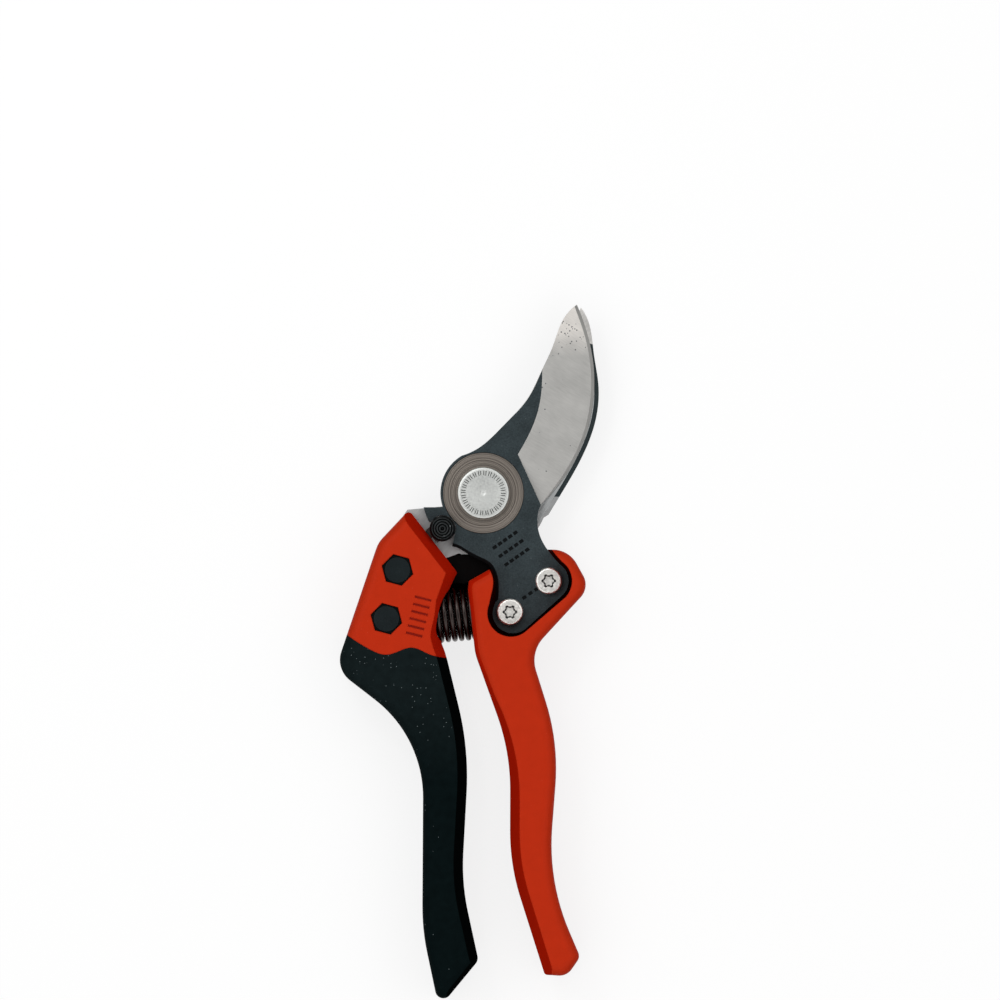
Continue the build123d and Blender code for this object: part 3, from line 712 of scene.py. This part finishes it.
@dataclass
class Blades:
    """The cutting blade and the hooked counter blade. A rise is the upward part of a face's normal."""

    blade_top: float = top_of("cutting_blade")
    counter_top: float = top_of("counter_blade")
    seat: float = 10.95
    seat_clear: float = 11.2
    bevel_start: float = 9.0
    bevel_rise: Point2 = (0.4, 0.9995)
    keen_rise: float = 0.95
    rim: float = 0.4
    rim_rise: float = 0.97
    rim_line: float = 0.3
    line_rise: float = 0.8
    chamfer_rise: float = 0.6
    rim_low: float = 12.2
    rim_end: float = -2.0
    heel: float = -3.1
    throat: Point2 = (-2.6, -15.9)
    throat_reach: float = 6.5
    throat_shift: Point2 = (-0.85, -1.0)
    throat_clear: float = 12.0
    bare_tip: float = 50.5
    bare_lean: float = 0.35
    bare_heel: float = -1.0
    rows: int = 3
    row_step: Point2 = (1.6, -2.3)
    long_row: MarkRow = MarkRow(start=(2.6, -15.0), turn=35.0, count=5, pitch=1.7, length=1.2, width=0.9,
                                depth=0.12, border=0.06)
    short_row: MarkRow = replace(long_row, start=(10.6, -28.6), count=3, pitch=2.0)

    def _rim(self, edge: Edge) -> bool:
        """Say whether an edge is the coated plate's upper rim, clear of the pivot's seat.

        Args:
            edge: The edge.

        Returns:
            Whether it is.
        """
        upright = any(abs(face.normal.z) < UPRIGHT for face in edge.link_faces)
        middle = (edge.verts[0].co + edge.verts[1].co) / 2 / MM
        clear = hypot(middle.x, middle.y) > self.seat_clear
        return lies_at(edge, self.blade_top) and upright and edge.is_convex and clear

    def _chamfer_top(self, edge: Edge) -> bool:
        """Say whether an edge is where the tang's chamfer meets the plate's top.

        Args:
            edge: The edge.

        Returns:
            Whether it is.
        """
        slopes = sorted(face.normal.z for face in edge.link_faces)
        meets = self.chamfer_rise < slopes[0] < self.line_rise and slopes[-1] > LEVEL
        return lies_at(edge, self.blade_top) and meets and edge.verts[0].co.y < self.rim_end * MM

    def _sloped(self, mesh: Mesh) -> list[Face]:
        """Find the faces that slope a little, clear of the round seat and the tang.

        Args:
            mesh: A blade's mesh.

        Returns:
            The faces.
        """
        mesh.normal_update()
        found = []
        for face in mesh.faces:
            place = middle_of(face)
            clear = place.x > self.bevel_start and hypot(place.x, place.y) > self.seat
            if self.bevel_rise[0] < face.normal.z < self.bevel_rise[1] and clear:
                found.append(face)
        return found

    def _fill_throat(self, mesh: Mesh) -> None:
        """Draw the plate's hollow edge over the stop a little further out, most at its middle.

        Args:
            mesh: The cutting blade's mesh.
        """
        for corner in mesh.verts:
            place = corner.co.xy / MM
            away = (place - Vector(self.throat)).length / self.throat_reach
            if away < 1 and place.length > self.throat_clear:
                corner.co.xy += Vector(self.throat_shift) * bell(away) * MM

    def _press_ticks(self, mesh: Mesh, index: int) -> None:
        """Press the long rows of ticks into the tang, and the short one near its screws.

        Args:
            mesh: The cutting blade's mesh.
            index: Material index of their floors.
        """
        x, y = self.long_row.start
        for row in range(self.rows):
            start = (x + row * self.row_step[0], y + row * self.row_step[1])
            replace(self.long_row, start=start).press(mesh, self.blade_top, index)
        self.short_row.press(mesh, self.blade_top, index)

    def _cutting(self) -> None:
        """Build the coated blade with its ground bevel and the ticks pressed into its tang."""
        finishes = [COATED, GROUND, KEEN, COATED_MARKS_AND_SHADE, COATED_RIM_HIGHLIGHT]
        mesh = merged_copy("cutting_blade")
        self._fill_throat(mesh)
        self._press_ticks(mesh, finishes.index(COATED_MARKS_AND_SHADE))
        soften(mesh, self.rim, self._rim, segments=3)
        mesh.normal_update()
        soften(mesh, self.rim_line, self._chamfer_top, segments=1)
        mesh.normal_update()
        split(mesh, self._sloped(mesh), Vector((0, self.heel, 0)), Vector((0, 1, 0)))
        # Paint the rim bevel: its upper strip gets a painted highlight and its lower strips a black line of
        # painted shade.
        for face in mesh.faces:
            middle, rise = middle_of(face), face.normal.z
            if UPRIGHT < rise < self.rim_rise and middle.z > self.rim_low and middle.y < self.rim_end:
                face.material_index = finishes.index(COATED_RIM_HIGHLIGHT if rise > self.line_rise else COATED_MARKS_AND_SHADE)
        for face in self._sloped(mesh):
            if middle_of(face).y > self.heel:
                face.material_index = finishes.index(GROUND if face.normal.z > self.keen_rise else KEEN)
        finished("cutting_blade_piece", mesh, finishes, Body.BLADE, "cutting_blade")

    def _counter(self) -> None:
        """Build the hooked blade, bright at its tip and heel and where the cutting blade rubs on it."""
        finishes = [COATED_HOOK, RUBBED]
        mesh = merged_copy("counter_blade")
        bare = Vector((0, self.bare_tip, 0))
        lean = Vector((self.bare_lean, 1.0, 0)).normalized()
        split(mesh, self._sloped(mesh), bare, lean)
        split(mesh, self._sloped(mesh), Vector((0, self.bare_heel, 0)), Vector((0, 1, 0)))
        for face in self._sloped(mesh):
            middle = middle_of(face)
            if (middle - bare).dot(lean) > 0 or middle.y < self.bare_heel:
                face.material_index = finishes.index(RUBBED)
        for face in faces_at(mesh, self.counter_top):
            face.material_index = finishes.index(RUBBED)
        finished("counter_blade_piece", mesh, finishes, Body.HANDLE, "counter_blade")

    def build(self) -> None:
        """Build both plates."""
        self._cutting()
        self._counter()


@dataclass
class Pivot:
    """The bolt, its turned ring, and the disc spring and nut behind the plates."""

    shank: float = 4.0
    shank_chamfer: float = 0.4
    head: float = 6.95
    head_low: float = top_of("pivot_washer")
    head_top: float = top_of("pivot_bolt")
    lip: float = 0.1
    edge: float = 0.45
    edge_round: float = 0.3
    dimple: float = 0.9
    dimple_depth: float = 0.25
    dimple_bend: Point2 = (0.6, 0.7)
    tick_inner: float = 4.75
    tick_outer: float = 6.05
    tick_depth: float = 0.12
    tick_border: float = 0.04
    tick_places: tuple[int, ...] = (0, 2)
    tick_period: int = 5
    ring_inner: float = 4.05
    ring_outer: float = 10.9
    ring_low: float = low_of("pivot_washer")
    ring_chamfer: float = 0.12
    groove: Point2 = (8.6, 9.6)
    groove_slope: float = 0.1
    groove_depth: float = 0.05
    steps: int = 120

    def _bolt(self) -> None:
        """Turn the bolt, then press a ring of short marks into its head."""
        finishes = [BOLT, BOLT_DARK]
        low, top = self.head_low, self.head_top
        rounding = self.edge * self.edge_round
        profile = [
            (0.0, 0.0), (self.shank - self.shank_chamfer, 0.0), (self.shank, self.shank_chamfer),
            (self.shank, low), (self.head - self.lip, low), (self.head, low + self.lip),
            (self.head, top - self.edge), (self.head - rounding, top - rounding),
            (self.head - self.edge, top), (self.tick_outer, top), (self.tick_inner, top), (self.dimple, top),
            (self.dimple * self.dimple_bend[0], top - self.dimple_depth * self.dimple_bend[1]),
            (0.0, top - self.dimple_depth),
        ]
        mesh = turned(profile, steps=self.steps)
        band = []
        for face in mesh.faces:
            place = middle_of(face)
            if place.z > top - TOUCH and self.tick_inner < hypot(place.x, place.y) < self.tick_outer:
                band.append(face)
        band.sort(key=lambda face: Vector((1, 0)).angle_signed(middle_of(face).xy))
        marks = [face for number, face in enumerate(band) if number % self.tick_period in self.tick_places]
        bmesh.ops.inset_individual(mesh, faces=marks, thickness=self.tick_border * MM,
                                   depth=-self.tick_depth * MM)
        for face in marks:
            face.material_index = finishes.index(BOLT_DARK)
        finished("pivot_bolt_piece", mesh, finishes, Body.HANDLE, "pivot_bolt")

    def _ring(self) -> None:
        """Turn the ring under the head, with a shallow groove round it."""
        low, top = self.ring_low, self.head_low
        floor = top - self.groove_depth
        inner, outer = self.groove
        profile = [
            (self.ring_inner, low), (self.ring_outer, low), (self.ring_outer, top - self.ring_chamfer),
            (self.ring_outer - self.ring_chamfer, top), (outer, top), (outer - self.groove_slope, floor),
            (inner + self.groove_slope, floor), (inner, top), (self.ring_inner, top), (self.ring_inner, low),
        ]
        finished("pivot_ring_piece", turned(profile, steps=self.steps), [RING], Body.HANDLE, "pivot_washer")

    def build(self) -> None:
        """Build the pivot's pieces."""
        self._bolt()
        self._ring()
        Copied("disc_spring", SPRING, Body.HANDLE, width=0.08).build()
        Copied("pivot_nut", ZINC, Body.HANDLE, width=0.25).build()
        Copied("nut_lock_ring", NYLON, Body.HANDLE, width=0.1).build()


@dataclass
class Handles:
    """The left handle's core and grip, the right handle, and the stop between them.

    A rise is the upward part of a face's normal, up or down, and a lean is its part along X.
    """

    front: float = top_of("left_handle")
    front_slack: float = 0.002
    rim_angle: float = 60.0
    rim: float = 0.9
    recess_rim: float = 0.3
    recess_floor: float = 10.0
    # Height below which the recess's floor and walls get the painted shade.
    pocket_shade_height: float = 16.0
    scale: MarkRow = MarkRow(start=(-18.75, -38.6), turn=76.0, count=6, pitch=2.0, length=0.7, width=4.6,
                             depth=0.3, border=0.15)
    flank_lean: float = 0.3
    flank_rise: Point2 = (0.25, 0.8)
    waist: Point2 = (-18.0, -32.8)
    waist_reach: float = 8.3
    waist_shift: float = 2.3
    stop_centre: Point2 = (-4.95, -26.2)
    stop_radius: float = 9.5
    stop_slack: float = 0.03
    stop_swell: float = 0.13
    stop_flare: float = 0.7
    stop_waist: float = 6.0
    stop_side: Point3 = (0.5, -0.866, 0.0)
    stop_side_slack: float = 0.1
    stop_reach: float = 0.25
    # The stop's tail is a dark sheet that stands in for the shade behind the spring.
    shade_sheet_corner: Point3 = (-3.9, -23.6, 3.62)
    shade_sheet_size: Point3 = (5.0, 4.4, 0.7)
    shade_sheet_spread: float = 1.5
    shade_sheet_shift: float = 1.2

    def _shade_sheet(self, mesh: Mesh) -> None:
        """Add the stop's thin tail, a dark sheet that reaches down behind the spring between the handles and
        stands in for the shade there.

        Args:
            mesh: The stop's mesh.
        """
        right, top, low = self.shade_sheet_corner
        across, down, rise = self.shade_sheet_size
        made = bmesh.ops.create_cube(mesh, size=1.0)["verts"]
        bmesh.ops.scale(mesh, verts=made, vec=(across * MM, down * MM, rise * MM))
        foot = [corner for corner in made if corner.co.y < 0]
        bmesh.ops.scale(mesh, verts=foot, vec=(self.shade_sheet_spread, 1, 1))
        bmesh.ops.translate(mesh, verts=foot, vec=(-self.shade_sheet_shift * MM, 0, 0))
        middle = Vector((right - across / 2, top - down / 2, low + rise / 2)) * MM
        bmesh.ops.translate(mesh, verts=made, vec=middle)

    def _stop(self) -> None:
        """Build the rubber stop, snug against the counter blade and the right handle, with a flared foot."""
        mesh = merged_copy("stop_buffer")
        centre = Vector(self.stop_centre) * MM
        moves: dict[bmesh.types.BMVert, Vector] = {}
        for corner in mesh.verts:
            offset = corner.co.xy - centre
            if abs(offset.length / MM - self.stop_radius) < self.stop_slack:
                low = corner.co.z < self.stop_waist * MM and offset.x < offset.y
                swell = self.stop_flare if low else self.stop_swell
                moves[corner] = offset.normalized().to_3d() * swell * MM
        for face in mesh.faces:
            if (face.normal - Vector(self.stop_side)).length < self.stop_side_slack:
                for corner in face.verts:
                    moves[corner] = moves.get(corner, Vector()) + face.normal * self.stop_reach * MM
        for corner, move in moves.items():
            corner.co += move
        # Add the dark tail that stands in for the shade behind the spring.
        self._shade_sheet(mesh)
        finished("stop_buffer_piece", mesh, [STOP], Body.HANDLE, "stop_buffer")

    def _front_rim(self, edge: Edge) -> bool:
        """Say whether an edge is where a recess meets the flat front or back of a handle.

        Args:
            edge: The edge.

        Returns:
            Whether it is.
        """
        outside = any(lies_at(edge, height, self.front_slack) for height in (0.0, self.front))
        return outside and sharp(self.rim_angle)(edge)

    def _back_rim(self, edge: Edge) -> bool:
        """Say whether an edge is where a recess meets the flat back of a handle."""
        return self._front_rim(edge) and edge.verts[0].co.z < MM

    def _fill_waist(self, mesh: Mesh) -> None:
        """Draw the core's inner flank out along the spring, most at its middle.

        Args:
            mesh: The core's mesh.
        """
        for corner in mesh.verts:
            along = (corner.co.y / MM - self.waist[1]) / self.waist_reach
            if corner.co.x > self.waist[0] * MM and abs(along) < 1:
                corner.co.x += bell(along) * self.waist_shift * MM

    def _paint_flank_shade(self, mesh: Mesh, side: int, index: int) -> None:
        """Paint shade on a handle's sloping inner flank, with a darker finish of its own.

        Args:
            mesh: The handle's mesh.
            side: 1 for a flank that faces +X, -1 for one that faces -X.
            index: The finish's material index.
        """
        mesh.normal_update()
        low, high = self.flank_rise
        for face in mesh.faces:
            sloping = face.normal.x * side > self.flank_lean and low < abs(face.normal.z) < high
            if sloping and face.material_index == 0:
                face.material_index = index

    def _left(self) -> None:
        """Build the red core, with a short scale of marks beside its bolts."""
        finishes = [RED, RED_DEEP, RED_FLANK_SHADE]
        mesh = merged_copy("left_handle")
        self._fill_waist(mesh)
        soften(mesh, self.recess_rim, self._front_rim, segments=3)
        self.scale.press(mesh, self.front, finishes.index(RED_DEEP))
        self._paint_flank_shade(mesh, 1, finishes.index(RED_FLANK_SHADE))
        finished("left_handle_piece", mesh, finishes, Body.HANDLE, "left_handle")

    def _recess(self, mesh: Mesh) -> list[Face]:
        """Find the floor and the upright walls of the recess for the tang.

        Args:
            mesh: The right handle's mesh.

        Returns:
            The faces.
        """
        mesh.normal_update()
        found = []
        for face in mesh.faces:
            lowest = min(corner.co.z for corner in face.verts) / MM
            square = abs(face.normal.z) < UPRIGHT or face.normal.z > LEVEL
            if abs(lowest - self.recess_floor) < TOUCH and square:
                found.append(face)
        return found

    def _right(self) -> None:
        """Build the one-piece handle with a rounded rim round the tang, with painted shade deep in the
        recess.
        """
        finishes = [RED, RED_POCKET_SHADE, RED_FLANK_SHADE]
        mesh = merged_copy("right_handle")
        soften(mesh, self.recess_rim, self._back_rim, segments=3)
        soften(mesh, self.rim, self._front_rim, segments=4)
        # Paint shade on the recess's floor and its walls below the set height.
        split(mesh, self._recess(mesh), Vector((0, 0, self.pocket_shade_height)), Vector((0, 0, 1)))
        for face in self._recess(mesh):
            if middle_of(face).z < self.pocket_shade_height:
                face.material_index = finishes.index(RED_POCKET_SHADE)
        self._paint_flank_shade(mesh, -1, finishes.index(RED_FLANK_SHADE))
        finished("right_handle_piece", mesh, finishes, Body.BLADE, "right_handle")

    def _grip(self) -> None:
        """Build the soft grip, with painted shade along its inner flank."""
        finishes = [GRIP, GRIP_FLANK_SHADE]
        mesh = merged_copy("soft_grip")
        self._paint_flank_shade(mesh, 1, finishes.index(GRIP_FLANK_SHADE))
        finished("soft_grip_piece", mesh, finishes, Body.HANDLE, "soft_grip")

    def build(self) -> None:
        """Build the handles' pieces."""
        self._left()
        self._right()
        self._grip()
        self._stop()


@dataclass
class Fasteners:
    """The bolts, screws and nuts of both handles."""

    bolts: tuple[Point2, ...] = ((-23.2, -20.8), (-26.2, -34.0))
    bolt_top: float = top_of("tang_bolts")
    crown: float = 3.5
    crown_steps: int = 48
    crown_rise: float = 0.14
    crown_sink: float = 0.1
    crown_edge: Point2 = (0.12, 0.03)
    ring_start: float = 3.25
    ring_end: float = 0.6
    ring_pitch: float = 0.55
    ring_width: float = 0.3
    ring_depth: float = 0.05
    dimple: float = 0.4
    dimple_depths: Point2 = (0.1, 0.12)
    screws: tuple[Point2, ...] = ((17.68, -23.76), (7.19, -32.16))
    recess: float = 2.1
    recess_floor: float = 13.9
    recess_low: float = 13.5
    recess_draft: float = 0.7
    recess_rise: float = 0.9

    def _crown(self, number: int, centre: Point2) -> None:
        """Turn the slightly raised round face of a hexagon head, with faint rings.

        Args:
            number: The head's number.
            centre: The head's axis, in millimetres.
        """
        top, low = self.bolt_top + self.crown_rise, self.bolt_top - self.crown_sink
        inset, drop = self.crown_edge
        profile = [(0.0, low), (self.crown, low), (self.crown - inset, top - drop)]
        radius = self.ring_start
        while radius > self.ring_end:
            profile += [(radius, top), (radius - self.ring_width, top - self.ring_depth)]
            radius -= self.ring_pitch
        profile += [(self.dimple, top - self.dimple_depths[0]), (0.0, top - self.dimple_depths[1])]
        mesh = turned(profile, centre, self.crown_steps)
        finished(f"tang_bolt_crown_{number}", mesh, [CROWN], Body.HANDLE)

    def _screws(self) -> None:
        """Build the six-lobed screws, with drafted recesses whose walls carry painted shade."""
        finishes = [ZINC, ZINC_RECESS_SHADE]
        mesh = merged_copy("blade_screws")
        for corner in mesh.verts:
            for x, y in self.screws:
                centre = Vector((x * MM, y * MM, corner.co.z))
                inside = (corner.co - centre).length < self.recess * MM
                if inside and abs(corner.co.z / MM - self.recess_floor) < TOUCH:
                    corner.co = centre.lerp(corner.co, self.recess_draft)
        mesh.normal_update()
        # Paint shade on the recesses' walls.
        for face in mesh.faces:
            place = middle_of(face)
            reach = min(hypot(place.x - x, place.y - y) for x, y in self.screws)
            if place.z > self.recess_low and reach < self.recess and face.normal.z < self.recess_rise:
                face.material_index = finishes.index(ZINC_RECESS_SHADE)
        finished("blade_screws_piece", mesh, finishes, Body.BLADE, "blade_screws")

    def build(self) -> None:
        """Build the fasteners."""
        Copied("tang_bolts", BLACKENED_SHADE, Body.HANDLE, width=0.22).build()
        for number, centre in enumerate(self.bolts):
            self._crown(number, centre)
        Copied("tang_nuts", ZINC, Body.HANDLE, width=0.25).build()
        self._screws()
        Copied("blade_nuts", ZINC, Body.BLADE, width=0.25).build()


@dataclass
class OpeningSpring:
    """The coil between the handles, with closed ends."""

    wire: float = 1.5
    outside: float = 7.3
    length: float = 19.0
    turns: int = 10
    left: Point3 = (-19.0, -33.9, 10.0)
    tilt: float = 5.0
    steps: int = 40
    sides: int = 14

    def build(self) -> None:
        """Sweep the wire round its axis, turn by turn, and lay it between the handles."""
        mesh = bmesh.new()
        radius = self.wire / 2
        ring = bmesh.ops.create_circle(mesh, segments=self.sides, radius=radius * MM, cap_ends=True)["verts"]
        bmesh.ops.rotate(mesh, verts=ring, cent=(0, 0, 0), matrix=Matrix.Rotation(pi / 2, 3, "X"))
        bmesh.ops.translate(mesh, verts=ring, vec=((self.outside - radius) * MM, 0, radius * MM))
        loop = [*mesh.faces, *mesh.edges, *mesh.verts]
        open_turns = self.turns - 2
        open_pitch = (self.length - 3 * self.wire) / open_turns
        for pitch, count in ((self.wire, 1), (open_pitch, open_turns), (self.wire, 1)):
            made = bmesh.ops.spin(mesh, geom=loop, cent=(0, 0, 0), axis=(0, 0, 1), angle=2 * pi * count,
                                  dvec=(0, 0, pitch / self.steps * MM), steps=self.steps * count)
            loop = made["geom_last"]
        bmesh.ops.recalc_face_normals(mesh, faces=mesh.faces)
        lean = Matrix.Rotation(radians(self.tilt), 4, "Z") @ Matrix.Rotation(pi / 2, 4, "Y")
        start = Vector(self.left) * MM
        bmesh.ops.transform(mesh, matrix=Matrix.Translation(start) @ lean, verts=mesh.verts)
        piece = finished("opening_spring_piece", mesh, [SPRING], None, "opening_spring")
        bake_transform(piece)


@dataclass
class Catch:
    """The sliding bar, its thumb knob and pin, and the leaf spring over it."""

    knob_centre: Point2 = (-11.056, -9.611)
    knob_low: float = low_of("catch_knob")
    knob_top: float = top_of("catch_knob")
    knob_radius: float = 3.5
    foot: float = 0.15
    shoulder: tuple[Point2, ...] = ((0.0, 1.2), (0.12, 0.8), (0.42, 0.5))
    dome: float = 2.9
    dome_end: float = 0.1
    dome_drop: float = 0.35
    ridge: float = 0.09
    ridge_pitch: float = 0.72
    ridge_steps: int = 8
    waver: float = 0.09
    waver_depth: float = 0.6
    waves: tuple[Point2, ...] = ((3.1, 1.7), (-2.3, 4.3))
    ringed_depth: float = 0.7
    hub: float = 0.2
    crest_limit: float = 0.1

    def _knob(self) -> None:
        """Turn the knob with a deep rounded edge, and rings over its domed top that waver a little; their
        crests carry a painted highlight with glints and their grooves painted shade.
        """
        finishes = [KNOB, KNOB_CREST_HIGHLIGHT, KNOB_GROOVE_SHADE]
        low, top = self.knob_low, self.knob_top
        radius = self.knob_radius
        centre = Vector((*self.knob_centre, 0.0))
        profile = [(0.0, low), (radius - self.foot, low), (radius, low + self.foot)]
        profile += [(radius - inset, top - drop) for inset, drop in self.shoulder]
        reach = self.dome
        while reach > self.dome_end:
            dome = top - self.ridge - self.dome_drop * (reach / radius) ** 2
            profile.append((reach, dome + self.ridge * cos(2 * pi * reach / self.ridge_pitch)))
            reach -= self.ridge_pitch / self.ridge_steps
        profile.append((0.0, top))
        mesh = turned(profile, self.knob_centre)
        for corner in mesh.verts:
            if corner.co.z > (top - self.waver_depth) * MM:
                offset = corner.co / MM - centre
                wave = sum(sin(x * offset.x + y * offset.y) for x, y in self.waves)
                corner.co.z += (wave / len(self.waves) - 1) * self.waver * MM
        # Paint highlights on the rings' crests and shade in their grooves.
        for face in mesh.faces:
            middle = middle_of(face) - centre
            reach = hypot(middle.x, middle.y)
            if middle.z > top - self.ringed_depth and self.hub < reach < self.dome:
                crest = cos(2 * pi * reach / self.ridge_pitch) > self.crest_limit
                face.material_index = finishes.index(KNOB_CREST_HIGHLIGHT if crest else KNOB_GROOVE_SHADE)
        finished("catch_knob_piece", mesh, finishes, Body.CATCH, "catch_knob")

    def build(self) -> None:
        """Build the catch's pieces."""
        self._knob()
        Copied("catch_bar", WORN_BAR, Body.CATCH, width=0.15).build()
        Copied("catch_rivet", BLACKENED, Body.CATCH, width=0.1).build()
        Copied("catch_leaf", SPRING, Body.HANDLE, width=0.05).build()


# ---- studio


@dataclass(frozen=True)
class Lamp:
    """A soft square lamp: its place and size are in millimetres, and its power in watts."""

    name: str
    place: Point3
    size: float
    power: float


@dataclass
class Studio:
    """The floor, the light and the camera. The sky gives the dome's strength by the height looked at."""

    floor_size: float = 3000.0
    floor_share: float = 0.2
    floor_bounce: float = 0.15
    floor_drop: float = 0.05
    centre: Point2 = (4.514, -1.892)
    view_width: float = 270.27
    camera_height: float = 600.0
    camera_range: Point2 = (0.01, 10.0)
    aim: Point3 = (0.0, -40.0, 10.0)
    key: Lamp = Lamp("key", (-300.0, 260.0, 600.0), size=350.0, power=0.4)
    spark: Lamp = Lamp("spark", (-160.0, 220.0, 420.0), size=60.0, power=0.12)
    sky: tuple[Point2, ...] = ((0.0, 0.8), (0.1, 0.2), (0.35, 0.23), (0.6, 1.32), (0.84, 1.32),
                               (0.95, 0.42), (1.0, 0.23))

    def _world(self) -> None:
        """Light the scene with a soft dome, brightest half way up and dimmer straight above."""
        world = bpy.data.worlds.new("studio_world")
        bpy.context.scene.world = world
        sheet = sheet_of(world)
        direction = sheet.add("ShaderNodeTexCoord").outputs["Generated"]
        height = sheet.add("ShaderNodeSeparateXYZ", {0: direction}).outputs["Z"]
        feeds = {"Color": (1.0, 1.0, 1.0, 1.0), "Strength": sheet.ramp(height, self.sky)}
        light = sheet.add("ShaderNodeBackground", feeds)
        sheet.add("ShaderNodeOutputWorld", {"Surface": light.outputs[0]})

    def _paper(self) -> bpy.types.Material:
        """Make the floor's material: nearly white to the eye and to mirrors, duller as a source of light.

        Returns:
            The material.
        """
        material = bpy.data.materials.new("floor_paper")
        sheet = sheet_of(material)
        glow = sheet.add("ShaderNodeEmission")
        white = sheet.add("ShaderNodeBsdfDiffuse", {"Color": (1.0, 1.0, 1.0, 1.0)})
        dull = sheet.add("ShaderNodeBsdfDiffuse", {"Color": (*[self.floor_bounce] * 3, 1.0)})
        feeds = {"Fac": self.floor_share, 1: glow.outputs[0], 2: white.outputs[0]}
        shown = sheet.add("ShaderNodeMixShader", feeds)
        path = sheet.add("ShaderNodeLightPath").outputs
        looked = sheet.value("MAXIMUM", path["Is Camera Ray"], path["Is Glossy Ray"])
        looked = sheet.value("MAXIMUM", looked, path["Is Transmission Ray"])
        feeds = {"Fac": looked, 1: dull.outputs[0], 2: shown.outputs[0]}
        both = sheet.add("ShaderNodeMixShader", feeds)
        sheet.add("ShaderNodeOutputMaterial", {"Surface": both.outputs[0]})
        return material

    def _put(self, name: str, data: bpy.types.ID, place: Point3 = (0.0, 0.0, 0.0)) -> bpy.types.Object:
        """Put a thing in the scene.

        Args:
            name: Its name.
            data: Its mesh, light or camera.
            place: Where it stands, in millimetres.

        Returns:
            The new object.
        """
        thing = bpy.data.objects.new(name, data)
        thing.location = Vector(place) * MM
        bpy.context.scene.collection.objects.link(thing)
        return thing

    def _floor(self) -> bpy.types.Object:
        """Lay the pale floor, just under the shears.

        Returns:
            The floor.
        """
        mesh = bmesh.new()
        bmesh.ops.create_grid(mesh, x_segments=1, y_segments=1, size=self.floor_size / 2 * MM)
        bmesh.ops.translate(mesh, verts=mesh.verts, vec=(0, 0, -self.floor_drop * MM))
        data = bpy.data.meshes.new("floor")
        mesh.to_mesh(data)
        mesh.free()
        data.materials.append(self._paper())
        return self._put("floor", data)

    def _lamp(self, lamp: Lamp) -> bpy.types.Object:
        """Hang a lamp so that it faces the shears.

        Args:
            lamp: The lamp to hang.

        Returns:
            The lamp's object.
        """
        data = bpy.data.lights.new(lamp.name, "AREA")
        data.size = lamp.size * MM
        data.energy = lamp.power
        hung = self._put(lamp.name, data, lamp.place)
        hung.rotation_euler = (Vector(self.aim) - Vector(lamp.place)).to_track_quat("-Z", "Y").to_euler()
        return hung

    def _camera(self) -> None:
        """Look straight down at the shears."""
        data = bpy.data.cameras.new("camera")
        data.type = "ORTHO"
        data.ortho_scale = self.view_width * MM
        data.clip_start, data.clip_end = self.camera_range
        bpy.context.scene.camera = self._put("camera", data, (*self.centre, self.camera_height))

    def build(self) -> None:
        """Set up the studio."""
        self._world()
        self._floor()
        self._lamp(self.key)
        self._lamp(self.spark)
        self._camera()
        bpy.context.scene.view_settings.view_transform = "Standard"


def clear_defaults() -> None:
    """Remove what a new file holds besides the frame."""
    kept = {*frame["nodes"].values(), *frame["bodies"].values()}
    for spare in [item for item in bpy.data.objects if item not in kept]:
        bpy.data.objects.remove(spare)


def main() -> None:
    """Build the shears and the studio, and report each piece."""
    logging.basicConfig(level=logging.INFO, format="%(name)s: %(message)s")
    clear_defaults()
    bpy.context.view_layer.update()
    for part in (Blades(), Pivot(), Handles(), Fasteners(), OpeningSpring(), Catch()):
        LOG.info("building %s", type(part).__name__)
        part.build()
    Studio().build()


if __name__ == "__main__":
    main()
